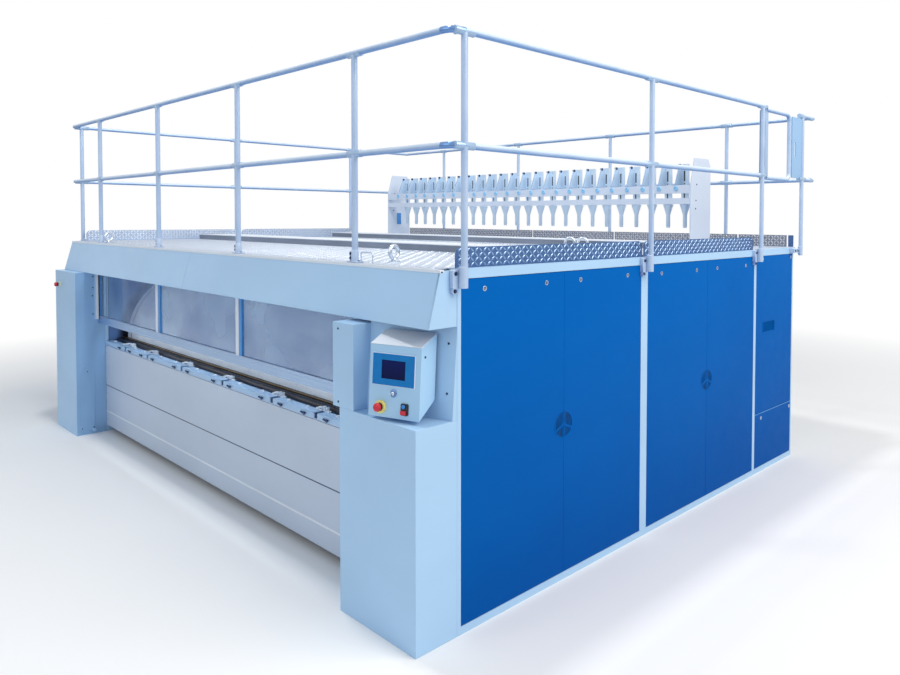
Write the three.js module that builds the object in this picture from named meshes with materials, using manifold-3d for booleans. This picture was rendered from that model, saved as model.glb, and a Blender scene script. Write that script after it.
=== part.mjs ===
// Flatwork ironer: two padded rolls in heated chests, between two side cabinets, under a service deck.
// Millimetres, +Z up, +X to the right and +Y to the rear as seen from the feeding side.
// X = 0 is the machine's middle, Y = 0 the front plane of its cabinets and Z = 0 the floor.
import * as THREE from 'three';
import { mergeVertices } from 'three/addons/utils/BufferGeometryUtils.js';
import Module from 'manifold-3d';

const wasm = await Module();
wasm.setup();

// ---------------------------------------------------------------- driving dimensions

const GAP = 0.4;                        // clearance left between pieces that touch

// side cabinets
const CABINET_OUTER_X = 2787;
const CABINET_INNER_X = 2196;
const CABINET_DEPTH = 3715;
const TRAY_HEIGHT = 40;
const CARCASS_THICKNESS = 60;           // of mullions and top beam, along X
const BEAM_BOTTOM = 1715;
const DECK_TOP = 1765;
const DECK_PLATE = 6;
const FRONT_PLATE = 24;
const REAR_PLATE = 20;
const MULLION_BAYS = [[1500, 1570], [3010, 3047]];
const DOOR_DEPTH = 25;
const DOOR_SKIN = 3;
const DOOR_REVEAL = 3;
const BAY_SEAMS = [769, 2305];          // between the two leaves of the front and the middle bay
const ROUND_VENT_RADIUS = 73;
const ROUND_VENT_Z = 868;
const REAR_BAY_SPLIT_Z = 468;
const REAR_LOUVRE = { y: 3270, z: 1147, width: 200, height: 80 };

// rolls and chests
const ROLL_Y = [770, 2310];
const ROLL_Z = 870;
const ROLL_RADIUS = 600;
const ROLL_HALF_LENGTH = 2150;
const ROLL_WALL = 20;
const JOURNAL_RADIUS = 65;
const JOURNAL_BORE = 30;
const JOURNAL_END = 2400;
const CHEST_CLEARANCE = 3;
const CHEST_THICKNESS = 27;
const WALL_INNER_X = 2200;
const WALL_THICKNESS = 20;
const BEARING_RADIUS = 140;
const BEARING_LENGTH = 50;

// drive
const CHAIN_X = 2300;
const SPROCKET_THICKNESS = 20;
const ROLL_SPROCKET_RADIUS = 200;
const MOTOR_SPROCKET_RADIUS = 80;
const MOTOR_Y = 1540;
const MOTOR_Z = 300;
const CHAIN_SLACK = 4;
const CHAIN_THICKNESS = 12;

// front
const COLUMN_FRONT_Y = -245;
const COLUMN_TOP = 1490;
const COLUMN_WALL = 5;
const LEFT_COLUMN_INNER_X = -2195;
const RIGHT_COLUMN_INNER_X = 2165;
const RIGHT_SHELF_Z = 1045;
const RIGHT_TOWER_X = [2105, 2290];
const RIGHT_TOWER_TOP = 1475;
const GUIDE_BOTTOM = 1060;
const GUIDE_REACH = 45;
const GUIDE_RIBS_Y = [[-90, -68], [-26, -4]];
const FASCIA_HALF_WIDTH = 2787;
const FASCIA_TOP_Y = -100;
const FASCIA_BOTTOM_Y = -170;
const FASCIA_SHEET = 18;
const PANEL_DEPTH = 20;
const KICK_PANEL_Z = [60, 433];
const APRON_Z = [437, 805];
const FEED_TABLE_Z = [808, 845];
const FEED_NOTCHES_X = [-1673, -1149, -446, 264, 980, 1515];
const FEED_NOTCH = { width: 34, depth: 70 };

// lifting guard
const GUARD_X = [-2186, 2096];
const GUARD_RAIL_Z = [1020, 1085];
const GUARD_RAIL_Y = [-62, -32];
const GLASS_Y = [-51, -43];
const GLASS_TOP = 1500;
const GUARD_MULLIONS_X = [[-790, -710], [610, 690]];
const GUARD_MULLION_Y = [-62, -36];

// control box, in the frame of its face: width along X, depth along Y and height along Z
const CONSOLE_CORNER = { x: 2443, y: -263, z: 1060 };
const CONSOLE_YAW = THREE.MathUtils.degToRad(15.7);
const CONSOLE_TILT = THREE.MathUtils.degToRad(3.7);
const CONSOLE_WIDTH = 300;
const CONSOLE_FACE = 345;
const CONSOLE_DEPTH = 118;
const CONSOLE_LID_RISE = 60;
const CONSOLE_BOTTOM_RISE = 84;
const CONSOLE_WALL = { depth: 134, thickness: 4 };
const CONSOLE_BRACKET = { x: [60, 240], z: [150, 330] };
const TOUCH_PANEL = { x: [25, 268], z: [154, 301], thickness: 9 };
const ESTOP_ON_FACE = { x: 76, z: 49 };
const KEY_ON_FACE = { x: 147, z: 118 };
const START_ON_FACE = { x: 213, z: 63 };
const STOP_ON_FACE = { x: 213, z: 35 };
const TWIN_PLATE = { x: [195, 237], z: [22, 77], thickness: 6 };
const BUTTON_WELL = 12;                 // depth of the bore behind each operator
const ESTOP_REACH = 42;                 // how far an emergency stop stands out
const ESTOP_COLLAR = 12;
const COLUMN_ESTOP = { x: -2665, z: 1360 };

// deck furniture
const DECK_HALF_WIDTH = 2725;
const DECK_FRONT_Y = -95;
const DECK_REAR_Y = 3890;
const HOOD_FRONT_Y = [1050, 2650];
const HOOD = { halfWidth: 2660, depth: 300, height: 52 };
const TOE_BOARD = { height: 100, thickness: 5, x: 2757 };
const TOE_BOARD_ENDS_Y = [10, 3035];
const TOE_BOARD_BREAK_Y = [1540, 1560];

// guardrails
const TUBE_RADIUS = 17;
const TUBE_SIDES = 8;
const TOP_RAIL_Z = 2870;
const MID_RAIL_Z = 2340;
const SIDE_RAIL_X = 2833;
const FRONT_RAIL_Y = -70;
const REAR_RAIL_Y = 3920;
const RAIL_END_Y = 3970;
const CROSS_POSTS_X = [-2040, -680, 680, 2040];
const SIDE_POSTS_Y = [4, 1535, 3028];
const CORNER_POST_Y = 3754;
const GATE = { hingeY: 3058, tubeStart: 27, endY: 3500, bend: 60, top: 2850, bottom: 2325 };

// lever rack
const RACK = { y: 3120, depth: 320, halfWidth: 2150, plate: 12, top: 2520 };
const RACK_BARS_Z = [[2130, 2180], [2220, 2290]];
const RACK_BAR_DEPTH = 20;
const LEVER_COUNT = 24;
const LEVER_ENDS_X = [-1954, 1980];     // of the first and the last gusset
const LEVER_SHAFT = { y: 3262, z: 2255, radius: 14 };
const LEVER_PLATE = { y: [3245, 3253], x: [-3, 72], z: [2090, 2478] };
const LEVER_GUSSET = { thickness: 6, topReach: 48, footReach: 105, footZ: 2296 };
const LEVER_FUNNEL = { x: 33, y: 3250, topRadius: 46, stemRadius: 18, topZ: 2130, neckZ: 2040, endZ: 1925 };

// ---------------------------------------------------------------- materials

const paint = (color, roughness = 0.45, metalness = 0.1) =>
  new THREE.MeshStandardMaterial({ color, roughness, metalness });

const material = {
  cabinet: paint(0xb4c8dc),
  door: paint(0x146cb8),
  panel: paint(0xb8c0d0),
  steel: paint(0xa8b0b8, 0.35, 0.9),
  casting: paint(0x5c6066, 0.6, 0.5),
  deckPlate: paint(0xb9c4d2, 0.4, 0.8),
  rollCloth: paint(0xd8dce0, 0.9, 0),
  glass: paint(0xcfe2ee, 0.08, 0),
  console: paint(0xaccdea, 0.4, 0),
  touchPanel: paint(0x1878c4, 0.3, 0),
  red: paint(0xd82840, 0.35, 0),
  blue: paint(0x2060c0, 0.35, 0),
  rail: paint(0xb8bfc8, 0.35, 0.9),
  black: paint(0x202428, 0.5, 0.2),
};

// ---------------------------------------------------------------- geometry helpers

/** A box between two bounds on each axis. */
function block([x0, x1], [y0, y1], [z0, z1]) {
  const geometry = new THREE.BoxGeometry(x1 - x0, y1 - y0, z1 - z0);
  return geometry.translate((x0 + x1) / 2, (y0 + y1) / 2, (z0 + z1) / 2);
}

/** The same span on the right side (side = 1) or mirrored to the left (side = -1). */
function mirrored(side, near, far) {
  return side > 0 ? [near, far] : [-far, -near];
}

/** A round bar along one axis, between two places on it, centred on the other two coordinates. */
function bar(axis, [from, to], [a, b], radius, sides = TUBE_SIDES) {
  const geometry = new THREE.CylinderGeometry(radius, radius, to - from, sides);
  const middle = (from + to) / 2;
  if (axis === 'x') return geometry.rotateZ(Math.PI / 2).translate(middle, a, b);
  if (axis === 'y') return geometry.translate(a, middle, b);
  return geometry.rotateX(Math.PI / 2).translate(a, b, middle);
}

/** An outline of [y, z] points or a Shape in the YZ plane, extruded along X. */
function prismAlongX(outline, [x0, x1], curveSegments = 12) {
  const shape = Array.isArray(outline)
    ? new THREE.Shape(outline.map(([y, z]) => new THREE.Vector2(y, z)))
    : outline;
  const geometry = new THREE.ExtrudeGeometry(shape, { depth: x1 - x0, bevelEnabled: false, curveSegments });
  const turn = new THREE.Matrix4().makeBasis(
    new THREE.Vector3(0, 1, 0),
    new THREE.Vector3(0, 0, 1),
    new THREE.Vector3(1, 0, 0),
  );
  return geometry.applyMatrix4(turn).translate(x0, 0, 0);
}

function toSolid(geometry) {
  const bare = geometry.clone();
  bare.deleteAttribute('normal');
  bare.deleteAttribute('uv');
  const merged = mergeVertices(bare, 1e-4);
  return new wasm.Manifold(new wasm.Mesh({
    numProp: 3,
    vertProperties: Float32Array.from(merged.attributes.position.array),
    triVerts: Uint32Array.from(merged.index.array),
  }));
}

function toGeometry(solid) {
  const mesh = solid.getMesh();
  const geometry = new THREE.BufferGeometry();
  geometry.setAttribute('position', new THREE.BufferAttribute(Float32Array.from(mesh.vertProperties), 3));
  geometry.setIndex(new THREE.BufferAttribute(Uint32Array.from(mesh.triVerts), 1));
  geometry.computeVertexNormals();
  return geometry;
}

/** Joins the first list of geometries, then cuts away the second. */
function join(additions, cuts = []) {
  let solid = additions.map(toSolid).reduce((whole, piece) => whole.add(piece));
  for (const cut of cuts) solid = solid.subtract(toSolid(cut));
  return toGeometry(solid);
}

/** What two geometries have in common. */
function overlap(one, other) {
  return toGeometry(toSolid(one).intersect(toSolid(other)));
}

/** A piece turned about X, whose profile is given as [along X, radius] points. */
function turnedAlongX(profile, segments) {
  const points = profile.map(([x, radius]) => new THREE.Vector2(radius, x));
  return new THREE.LatheGeometry([...points, points[0].clone()], segments).rotateZ(-Math.PI / 2);
}

const machine = new THREE.Group();

function addPart(name, geometry, finish, parent = machine) {
  const mesh = new THREE.Mesh(geometry, finish);
  mesh.name = name;
  parent.add(mesh);
  return mesh;
}

const sides = [['left', -1], ['right', 1]];

// ---------------------------------------------------------------- side cabinets

/** Floor tray, front and rear plate, two mullions and top beam of one cabinet, welded together. */
function sideFrame(side) {
  const fullWidth = mirrored(side, CABINET_INNER_X, CABINET_OUTER_X);
  const postWidth = mirrored(side, CABINET_OUTER_X - CARCASS_THICKNESS, CABINET_OUTER_X);
  const fullHeight = [0, DECK_TOP];
  return join([
    block(fullWidth, [0, CABINET_DEPTH], [0, TRAY_HEIGHT]),
    block(fullWidth, [0, FRONT_PLATE], [0, BEAM_BOTTOM + 1]),
    block(fullWidth, [CABINET_DEPTH - REAR_PLATE, CABINET_DEPTH], [0, BEAM_BOTTOM + 1]),
    block(postWidth, [0, CABINET_DEPTH], [BEAM_BOTTOM, DECK_TOP]),
    ...MULLION_BAYS.map((span) => block(postWidth, span, fullHeight)),
  ]);
}

/** A folded door leaf, open at the back, with its vent cut out of the skin. */
function doorLeaf(side, [y0, y1], [z0, z1], vent) {
  const outer = block(mirrored(side, CABINET_OUTER_X - DOOR_DEPTH, CABINET_OUTER_X), [y0, y1], [z0, z1]);
  const hollow = block(
    mirrored(side, CABINET_OUTER_X - DOOR_DEPTH - 1, CABINET_OUTER_X - DOOR_SKIN),
    [y0 + DOOR_SKIN, y1 - DOOR_SKIN],
    [z0 + DOOR_SKIN, z1 - DOOR_SKIN],
  );
  return join([outer], vent ? [hollow, vent] : [hollow]);
}

function doorLeaves(side) {
  const ventSpan = mirrored(side, CABINET_OUTER_X - 2 * DOOR_DEPTH, CABINET_OUTER_X + 1);
  const fullHeight = [TRAY_HEIGHT + DOOR_REVEAL, BEAM_BOTTOM - DOOR_REVEAL];
  const bays = [
    [FRONT_PLATE, MULLION_BAYS[0][0], BAY_SEAMS[0]],
    [MULLION_BAYS[0][1], MULLION_BAYS[1][0], BAY_SEAMS[1]],
  ];
  const leaves = [];
  for (const [start, end, seam] of bays) {
    const roundVent = bar('x', ventSpan, [seam, ROUND_VENT_Z], ROUND_VENT_RADIUS, 24);
    leaves.push(doorLeaf(side, [start + DOOR_REVEAL, seam - DOOR_REVEAL / 2], fullHeight, roundVent));
    leaves.push(doorLeaf(side, [seam + DOOR_REVEAL / 2, end - DOOR_REVEAL], fullHeight, roundVent));
  }
  const rearBay = [MULLION_BAYS[1][1] + DOOR_REVEAL, CABINET_DEPTH - REAR_PLATE - DOOR_REVEAL];
  const louvre = block(
    ventSpan,
    [REAR_LOUVRE.y - REAR_LOUVRE.width / 2, REAR_LOUVRE.y + REAR_LOUVRE.width / 2],
    [REAR_LOUVRE.z - REAR_LOUVRE.height / 2, REAR_LOUVRE.z + REAR_LOUVRE.height / 2],
  );
  leaves.push(doorLeaf(side, rearBay, [REAR_BAY_SPLIT_Z + DOOR_REVEAL, fullHeight[1]], louvre));
  leaves.push(doorLeaf(side, rearBay, [fullHeight[0], REAR_BAY_SPLIT_Z]));
  return leaves;
}

for (const [sideName, side] of sides) {
  addPart(`side_frame_${sideName}`, sideFrame(side), material.cabinet);
  doorLeaves(side).forEach((leaf, index) => {
    addPart(`door_${sideName}_${index + 1}`, leaf, material.door);
  });
}

// ---------------------------------------------------------------- bearing walls and cross beams

/** A wall that carries both rolls, with a bearing housing round each journal. */
function bearingWall(side) {
  const wall = block(
    mirrored(side, WALL_INNER_X, WALL_INNER_X + WALL_THICKNESS),
    [FRONT_PLATE + 6, CABINET_DEPTH - REAR_PLATE - 5],
    [TRAY_HEIGHT + GAP, DECK_TOP - DECK_PLATE - GAP],
  );
  const housingSpan = mirrored(side, WALL_INNER_X, WALL_INNER_X + WALL_THICKNESS + BEARING_LENGTH);
  const boreSpan = mirrored(side, WALL_INNER_X - 1, WALL_INNER_X + WALL_THICKNESS + BEARING_LENGTH + 1);
  const boreRadius = JOURNAL_RADIUS + 5;
  return join(
    [wall, ...ROLL_Y.map((y) => bar('x', housingSpan, [y, ROLL_Z], BEARING_RADIUS, 24))],
    ROLL_Y.map((y) => bar('x', boreSpan, [y, ROLL_Z], boreRadius, 24)),
  );
}

for (const [sideName, side] of sides) {
  addPart(`bearing_wall_${sideName}`, bearingWall(side), material.casting);
}

const beamSpan = [-WALL_INNER_X + GAP, WALL_INNER_X - GAP];
const crossBeams = { front: 35, middle: 1490, rear: 3585 };
for (const [place, y] of Object.entries(crossBeams)) {
  addPart(`cross_beam_${place}`, block(beamSpan, [y, y + 100], [60, 160]), material.casting);
}

// ---------------------------------------------------------------- rolls, chests and drive

/** A hollow drum with hollow journals and a drive sprocket on its right-hand journal. */
function roll() {
  const inner = ROLL_HALF_LENGTH - ROLL_WALL;
  const half = SPROCKET_THICKNESS / 2;
  return turnedAlongX([
    [-JOURNAL_END, JOURNAL_BORE],
    [-JOURNAL_END, JOURNAL_RADIUS],
    [-ROLL_HALF_LENGTH, JOURNAL_RADIUS],
    [-ROLL_HALF_LENGTH, ROLL_RADIUS],
    [ROLL_HALF_LENGTH, ROLL_RADIUS],
    [ROLL_HALF_LENGTH, JOURNAL_RADIUS],
    [CHAIN_X - half, JOURNAL_RADIUS],
    [CHAIN_X - half, ROLL_SPROCKET_RADIUS],
    [CHAIN_X + half, ROLL_SPROCKET_RADIUS],
    [CHAIN_X + half, JOURNAL_RADIUS],
    [JOURNAL_END, JOURNAL_RADIUS],
    [JOURNAL_END, JOURNAL_BORE],
    [inner, JOURNAL_BORE],
    [inner, ROLL_RADIUS - ROLL_WALL],
    [-inner, ROLL_RADIUS - ROLL_WALL],
    [-inner, JOURNAL_BORE],
  ], 40);
}

/** The heated trough that wraps the lower half of a roll. */
function chest() {
  const innerRadius = ROLL_RADIUS + CHEST_CLEARANCE;
  const trough = new THREE.Shape();
  trough.absarc(0, 0, innerRadius + CHEST_THICKNESS, Math.PI, 2 * Math.PI, false);
  trough.absarc(0, 0, innerRadius, 2 * Math.PI, Math.PI, true);
  return prismAlongX(trough, beamSpan, 28);
}

['front', 'rear'].forEach((place, index) => {
  addPart(`roll_${place}`, roll(), material.rollCloth).position.set(0, ROLL_Y[index], ROLL_Z);
  addPart(`chest_${place}`, chest(), material.casting).position.set(0, ROLL_Y[index], ROLL_Z);
});

const chestReach = ROLL_RADIUS + CHEST_CLEARANCE + CHEST_THICKNESS;
addPart(
  'chest_bridge',
  block(beamSpan, [ROLL_Y[0] + chestReach + GAP, ROLL_Y[1] - chestReach - GAP], [ROLL_Z - 20, ROLL_Z - 2]),
  material.casting,
);

/** The outline that a chain takes round three wheels: the convex hull of points on their rims. */
function wrapAround(wheels, offset, pointsPerWheel = 32) {
  const points = [];
  for (const { y, z, radius } of wheels) {
    for (let step = 0; step < pointsPerWheel; step += 1) {
      const angle = (2 * Math.PI * step) / pointsPerWheel;
      points.push([y + (radius + offset) * Math.cos(angle), z + (radius + offset) * Math.sin(angle)]);
    }
  }
  points.sort((p, q) => p[0] - q[0] || p[1] - q[1]);
  const turn = (o, p, q) => (p[0] - o[0]) * (q[1] - o[1]) - (p[1] - o[1]) * (q[0] - o[0]);
  const chainOf = (ordered) => {
    const hull = [];
    for (const point of ordered) {
      while (hull.length > 1 && turn(hull.at(-2), hull.at(-1), point) <= 1) hull.pop();
      hull.push(point);
    }
    return hull.slice(0, -1);
  };
  return [...chainOf(points), ...chainOf(points.reverse())];
}

function driveChain() {
  const wheels = [
    { y: ROLL_Y[0], z: ROLL_Z, radius: ROLL_SPROCKET_RADIUS },
    { y: ROLL_Y[1], z: ROLL_Z, radius: ROLL_SPROCKET_RADIUS },
    { y: MOTOR_Y, z: MOTOR_Z, radius: MOTOR_SPROCKET_RADIUS },
  ];
  const half = SPROCKET_THICKNESS / 2;
  const outerPath = wrapAround(wheels, CHAIN_SLACK + CHAIN_THICKNESS);
  const outer = prismAlongX(outerPath, [CHAIN_X - half, CHAIN_X + half]);
  const inner = prismAlongX(wrapAround(wheels, CHAIN_SLACK), [CHAIN_X - half - 1, CHAIN_X + half + 1]);
  return join([outer], [inner]);
}

const GEARBOX_X = [2330, 2480];
const MOTOR_END_X = 2690;
const SHAFT_RADIUS = 25;
const SHAFT_END_X = 2385;

/** The gear housing with its motor flanged on, and a bore for the output shaft. */
function gearMotor() {
  const housing = block(GEARBOX_X, [MOTOR_Y - 110, MOTOR_Y + 110], [TRAY_HEIGHT + GAP, MOTOR_Z + 120]);
  const motor = bar('x', [GEARBOX_X[1] - 5, MOTOR_END_X], [MOTOR_Y, MOTOR_Z], 95, 20);
  const bore = bar('x', [GEARBOX_X[0] - 1, SHAFT_END_X + 2], [MOTOR_Y, MOTOR_Z], SHAFT_RADIUS + 1, 16);
  return join([housing, motor], [bore]);
}

function motorSprocket() {
  const half = SPROCKET_THICKNESS / 2;
  return turnedAlongX([
    [CHAIN_X - half - 4, 8],
    [CHAIN_X - half - 4, SHAFT_RADIUS],
    [CHAIN_X - half, SHAFT_RADIUS],
    [CHAIN_X - half, MOTOR_SPROCKET_RADIUS],
    [CHAIN_X + half, MOTOR_SPROCKET_RADIUS],
    [CHAIN_X + half, SHAFT_RADIUS],
    [SHAFT_END_X, SHAFT_RADIUS],
    [SHAFT_END_X, 8],
  ], 24);
}

addPart('gear_motor', gearMotor(), material.casting);
addPart('motor_sprocket', motorSprocket(), material.steel).position.set(0, MOTOR_Y, MOTOR_Z);
addPart('drive_chain', driveChain(), material.steel);

// ---------------------------------------------------------------- columns, panels and fascia

/** The two ribs on a column's inner face that the end of the guard slides between. */
function guideRibs(side, faceX, top) {
  const reach = side < 0 ? [faceX - 1, faceX + GUIDE_REACH] : [faceX - GUIDE_REACH, faceX + 1];
  return GUIDE_RIBS_Y.map((span) => block(reach, span, [GUIDE_BOTTOM, top]));
}

/** A box of sheet, open at the back. */
function sheetBox([x0, x1], [z0, z1], additions = [], cuts = []) {
  const outer = block([x0, x1], [COLUMN_FRONT_Y, -GAP], [z0, z1]);
  const hollow = block(
    [x0 + COLUMN_WALL, x1 - COLUMN_WALL],
    [COLUMN_FRONT_Y + COLUMN_WALL, 1],
    [z0 + COLUMN_WALL, z1 - COLUMN_WALL],
  );
  const shell = join([outer], [hollow]);
  return join([shell, ...additions], cuts);
}

/** Collar of an emergency stop and the bore behind it, both standing along -Y from a face at y. */
function estopCollar(x, y, z) {
  return {
    collar: bar('y', [y - ESTOP_COLLAR, y + 1], [x, z], 31, 20),
    bore: bar('y', [y - ESTOP_COLLAR - 1, y + BUTTON_WELL], [x, z], 12, 12),
  };
}

/** A gland for the machine's supply lead, at the foot of the left column. */
function cableGland() {
  return bar('x', [LEFT_COLUMN_INNER_X - 1, LEFT_COLUMN_INNER_X + 40], [-110, 40], 14, 12);
}

function leftColumn() {
  const { collar, bore } = estopCollar(COLUMN_ESTOP.x, COLUMN_FRONT_Y, COLUMN_ESTOP.z);
  return sheetBox(
    [-CABINET_OUTER_X, LEFT_COLUMN_INNER_X],
    [0, COLUMN_TOP],
    [...guideRibs(-1, LEFT_COLUMN_INNER_X, COLUMN_TOP), collar, cableGland()],
    [bore],
  );
}

addPart('column_left', leftColumn(), material.cabinet);
addPart(
  'column_right_lower',
  sheetBox([RIGHT_COLUMN_INNER_X, CABINET_OUTER_X], [0, RIGHT_SHELF_Z]),
  material.cabinet,
);

// The face frame lies in the control box's front face, which is turned and leans back:
// x runs across it, z up it and y into the box.
const faceGroup = new THREE.Group();
faceGroup.position.set(CONSOLE_CORNER.x, CONSOLE_CORNER.y, CONSOLE_CORNER.z);
faceGroup.rotation.set(-CONSOLE_TILT, 0, CONSOLE_YAW, 'ZYX');
faceGroup.updateMatrix();
machine.add(faceGroup);

/** The sheet behind the control box, parallel to its face, with a return at its outer edge. */
function consoleWall() {
  const { depth, thickness } = CONSOLE_WALL;
  const height = [RIGHT_SHELF_Z + GAP, COLUMN_TOP];
  const span = [RIGHT_TOWER_X[1] - 3, CABINET_OUTER_X - 1];
  const far = 1000;
  const onFace = (piece) => piece.applyMatrix4(faceGroup.matrix);
  const sheet = onFace(block([-far, far], [depth, depth + thickness], [-far, far]));
  const flange = block([span[1] - COLUMN_WALL, span[1]], [COLUMN_FRONT_Y, -GAP], height);
  const room = block(span, [COLUMN_FRONT_Y, -GAP], height);
  const before = onFace(block([-far, far], [-far, depth + thickness / 2], [-far, far]));
  return [overlap(sheet, room), join([flange], [before])];
}

function rightTower() {
  const ribs = guideRibs(1, RIGHT_TOWER_X[0], RIGHT_TOWER_TOP);
  return sheetBox(RIGHT_TOWER_X, [RIGHT_SHELF_Z + GAP, RIGHT_TOWER_TOP], ribs);
}

addPart('column_right_upper', join([rightTower(), ...consoleWall()]), material.cabinet);

/** A folded panel between the columns, open at the back. */
function frontPanel([z0, z1]) {
  const x0 = LEFT_COLUMN_INNER_X + 2;
  const x1 = RIGHT_COLUMN_INNER_X - 2;
  const outer = block([x0, x1], [0, PANEL_DEPTH], [z0, z1]);
  const hollow = block([x0 + 3, x1 - 3], [3, PANEL_DEPTH + 1], [z0 + 3, z1 - 3]);
  return join([outer], [hollow]);
}

addPart('kick_panel', frontPanel(KICK_PANEL_Z), material.panel);
addPart('apron_panel', frontPanel(APRON_Z), material.panel);

/** The feed table: folded covers in a row, with a notch at each gap between two of them. */
function feedTable() {
  const chestLip = ROLL_Y[0] - chestReach;
  const slab = prismAlongX([
    [0, FEED_TABLE_Z[0]],
    [chestLip - GAP, FEED_TABLE_Z[0]],
    [chestLip - GAP, FEED_TABLE_Z[1] + 14],
    [chestLip - 40, FEED_TABLE_Z[1] + 14],
    [chestLip - 48, FEED_TABLE_Z[1]],
    [0, FEED_TABLE_Z[1]],
  ], [LEFT_COLUMN_INNER_X + 2, RIGHT_COLUMN_INNER_X - 2]);
  const notches = FEED_NOTCHES_X.map((x) => block(
    [x - FEED_NOTCH.width / 2, x + FEED_NOTCH.width / 2],
    [-1, FEED_NOTCH.depth],
    [FEED_TABLE_Z[0] + 6, FEED_TABLE_Z[1] + 1],
  ));
  return join([slab], notches);
}

addPart('feed_table', feedTable(), material.panel);

/** The sloping cover over the guard: one long sheet with an end plate at each side. */
function fascia() {
  const top = DECK_TOP - DECK_PLATE - GAP;
  const bottom = COLUMN_TOP + 1;
  const sheet = prismAlongX([
    [FASCIA_TOP_Y, top],
    [FASCIA_BOTTOM_Y, bottom],
    [FASCIA_BOTTOM_Y + FASCIA_SHEET, bottom],
    [FASCIA_TOP_Y + FASCIA_SHEET, top],
  ], [-FASCIA_HALF_WIDTH, FASCIA_HALF_WIDTH]);
  const endOutline = [[FASCIA_TOP_Y, top], [FASCIA_BOTTOM_Y, bottom], [-1, bottom], [-1, top]];
  const ends = sides.map(([, side]) => prismAlongX(
    endOutline,
    mirrored(side, FASCIA_HALF_WIDTH - 15, FASCIA_HALF_WIDTH),
  ));
  return join([sheet, ...ends]);
}

addPart('fascia', fascia(), material.cabinet);

// ---------------------------------------------------------------- rear

const rearSpanX = [-CABINET_INNER_X + 3, CABINET_INNER_X - 3];
const REAR_FACE_Y = [3693, 3713];
const DELIVERY_OPENING_Z = [815, 1150];

function rearPanel([z0, z1]) {
  const outer = block(rearSpanX, REAR_FACE_Y, [z0, z1]);
  const hollow = block(
    [rearSpanX[0] + 3, rearSpanX[1] - 3],
    [REAR_FACE_Y[0] - 1, REAR_FACE_Y[1] - 3],
    [z0 + 3, z1 - 3],
  );
  return join([outer], [hollow]);
}

addPart('rear_panel', rearPanel([60, DELIVERY_OPENING_Z[0] - 20]), material.panel);
addPart('rear_cover', rearPanel([DELIVERY_OPENING_Z[1], DECK_TOP - DECK_PLATE - GAP]), material.panel);

/** The plate that the ironed linen slides down, from the rear chest's lip to the rear opening. */
function deliveryPlate() {
  const start = ROLL_Y[1] + chestReach + GAP;
  const end = REAR_FACE_Y[1];
  const low = DELIVERY_OPENING_Z[0];
  return prismAlongX([
    [start, ROLL_Z - 20],
    [end, low - 15],
    [end, low],
    [start, ROLL_Z - 5],
  ], beamSpan.map((x) => x * 0.99));
}

addPart('delivery_plate', deliveryPlate(), material.steel);

// ---------------------------------------------------------------- lifting guard

addPart('guard_rail', block(GUARD_X, GUARD_RAIL_Y, GUARD_RAIL_Z), material.steel);

function guardGlass() {
  const height = [GUARD_RAIL_Z[1] + GAP, GLASS_TOP];
  return join([
    block(GUARD_X, GLASS_Y, height),
    ...GUARD_MULLIONS_X.map((span) => block(span, GUARD_MULLION_Y, height)),
  ]);
}

addPart('guard_glass', guardGlass(), material.glass);

// ---------------------------------------------------------------- control box

function controlBox() {
  const body = prismAlongX([
    [0, 0],
    [CONSOLE_DEPTH, CONSOLE_BOTTOM_RISE],
    [CONSOLE_DEPTH, CONSOLE_FACE + CONSOLE_LID_RISE],
    [0, CONSOLE_FACE],
  ], [0, CONSOLE_WIDTH]);
  const { collar, bore } = estopCollar(ESTOP_ON_FACE.x, 0, ESTOP_ON_FACE.z);
  const twinPlate = block(TWIN_PLATE.x, [-TWIN_PLATE.thickness, 1], TWIN_PLATE.z);
  const wells = [START_ON_FACE, STOP_ON_FACE].map(({ x, z }) =>
    bar('y', [-TWIN_PLATE.thickness - 1, BUTTON_WELL], [x, z], 11, 12));
  const keyWell = bar('y', [-1, BUTTON_WELL], [KEY_ON_FACE.x, KEY_ON_FACE.z], 11, 12);
  return join([body, collar, twinPlate], [bore, ...wells, keyWell]);
}

/** The block that holds the control box to the wall behind it. */
function controlBracket() {
  const depth = [CONSOLE_DEPTH + GAP, CONSOLE_WALL.depth - GAP];
  return block(CONSOLE_BRACKET.x, depth, CONSOLE_BRACKET.z);
}

/** A mushroom head on a stem, standing along -Y. */
function mushroom() {
  const profile = [
    [0, 2], [10, 2], [10, -20], [17, -22], [20, -28], [19, -36], [12, -ESTOP_REACH], [0, -ESTOP_REACH],
  ];
  return new THREE.LatheGeometry(profile.map(([r, y]) => new THREE.Vector2(r, y)).reverse(), 20);
}

/** A round push button that stands a little out of its plate. */
function pushButton() {
  const profile = [[0, 4], [10, 4], [10, -11], [8, -13], [0, -13]];
  return new THREE.LatheGeometry(profile.map(([r, y]) => new THREE.Vector2(r, y)).reverse(), 16);
}

/** A key barrel with the bow of its key across it. */
function keySwitch() {
  const barrel = bar('y', [-10, 6], [0, 0], 10, 16);
  const bow = block([-2, 2], [-26, -9], [-9, 9]);
  return join([barrel, bow]);
}

addPart('control_bracket', controlBracket(), material.black, faceGroup);
addPart('control_box', controlBox(), material.console, faceGroup);
addPart(
  'touch_panel',
  block(TOUCH_PANEL.x, [-TOUCH_PANEL.thickness, -GAP], TOUCH_PANEL.z),
  material.touchPanel,
  faceGroup,
);
const operators = [
  ['estop_console', mushroom(), material.red, ESTOP_ON_FACE],
  ['start_button', pushButton(), material.blue, START_ON_FACE],
  ['stop_button', pushButton(), material.red, STOP_ON_FACE],
  ['key_switch', keySwitch(), material.steel, KEY_ON_FACE],
];
for (const [name, geometry, finish, { x, z }] of operators) {
  addPart(name, geometry, finish, faceGroup).position.set(x, 0, z);
}
const columnStop = addPart('estop_column', mushroom(), material.red);
columnStop.position.set(COLUMN_ESTOP.x, COLUMN_FRONT_Y, COLUMN_ESTOP.z);

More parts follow.
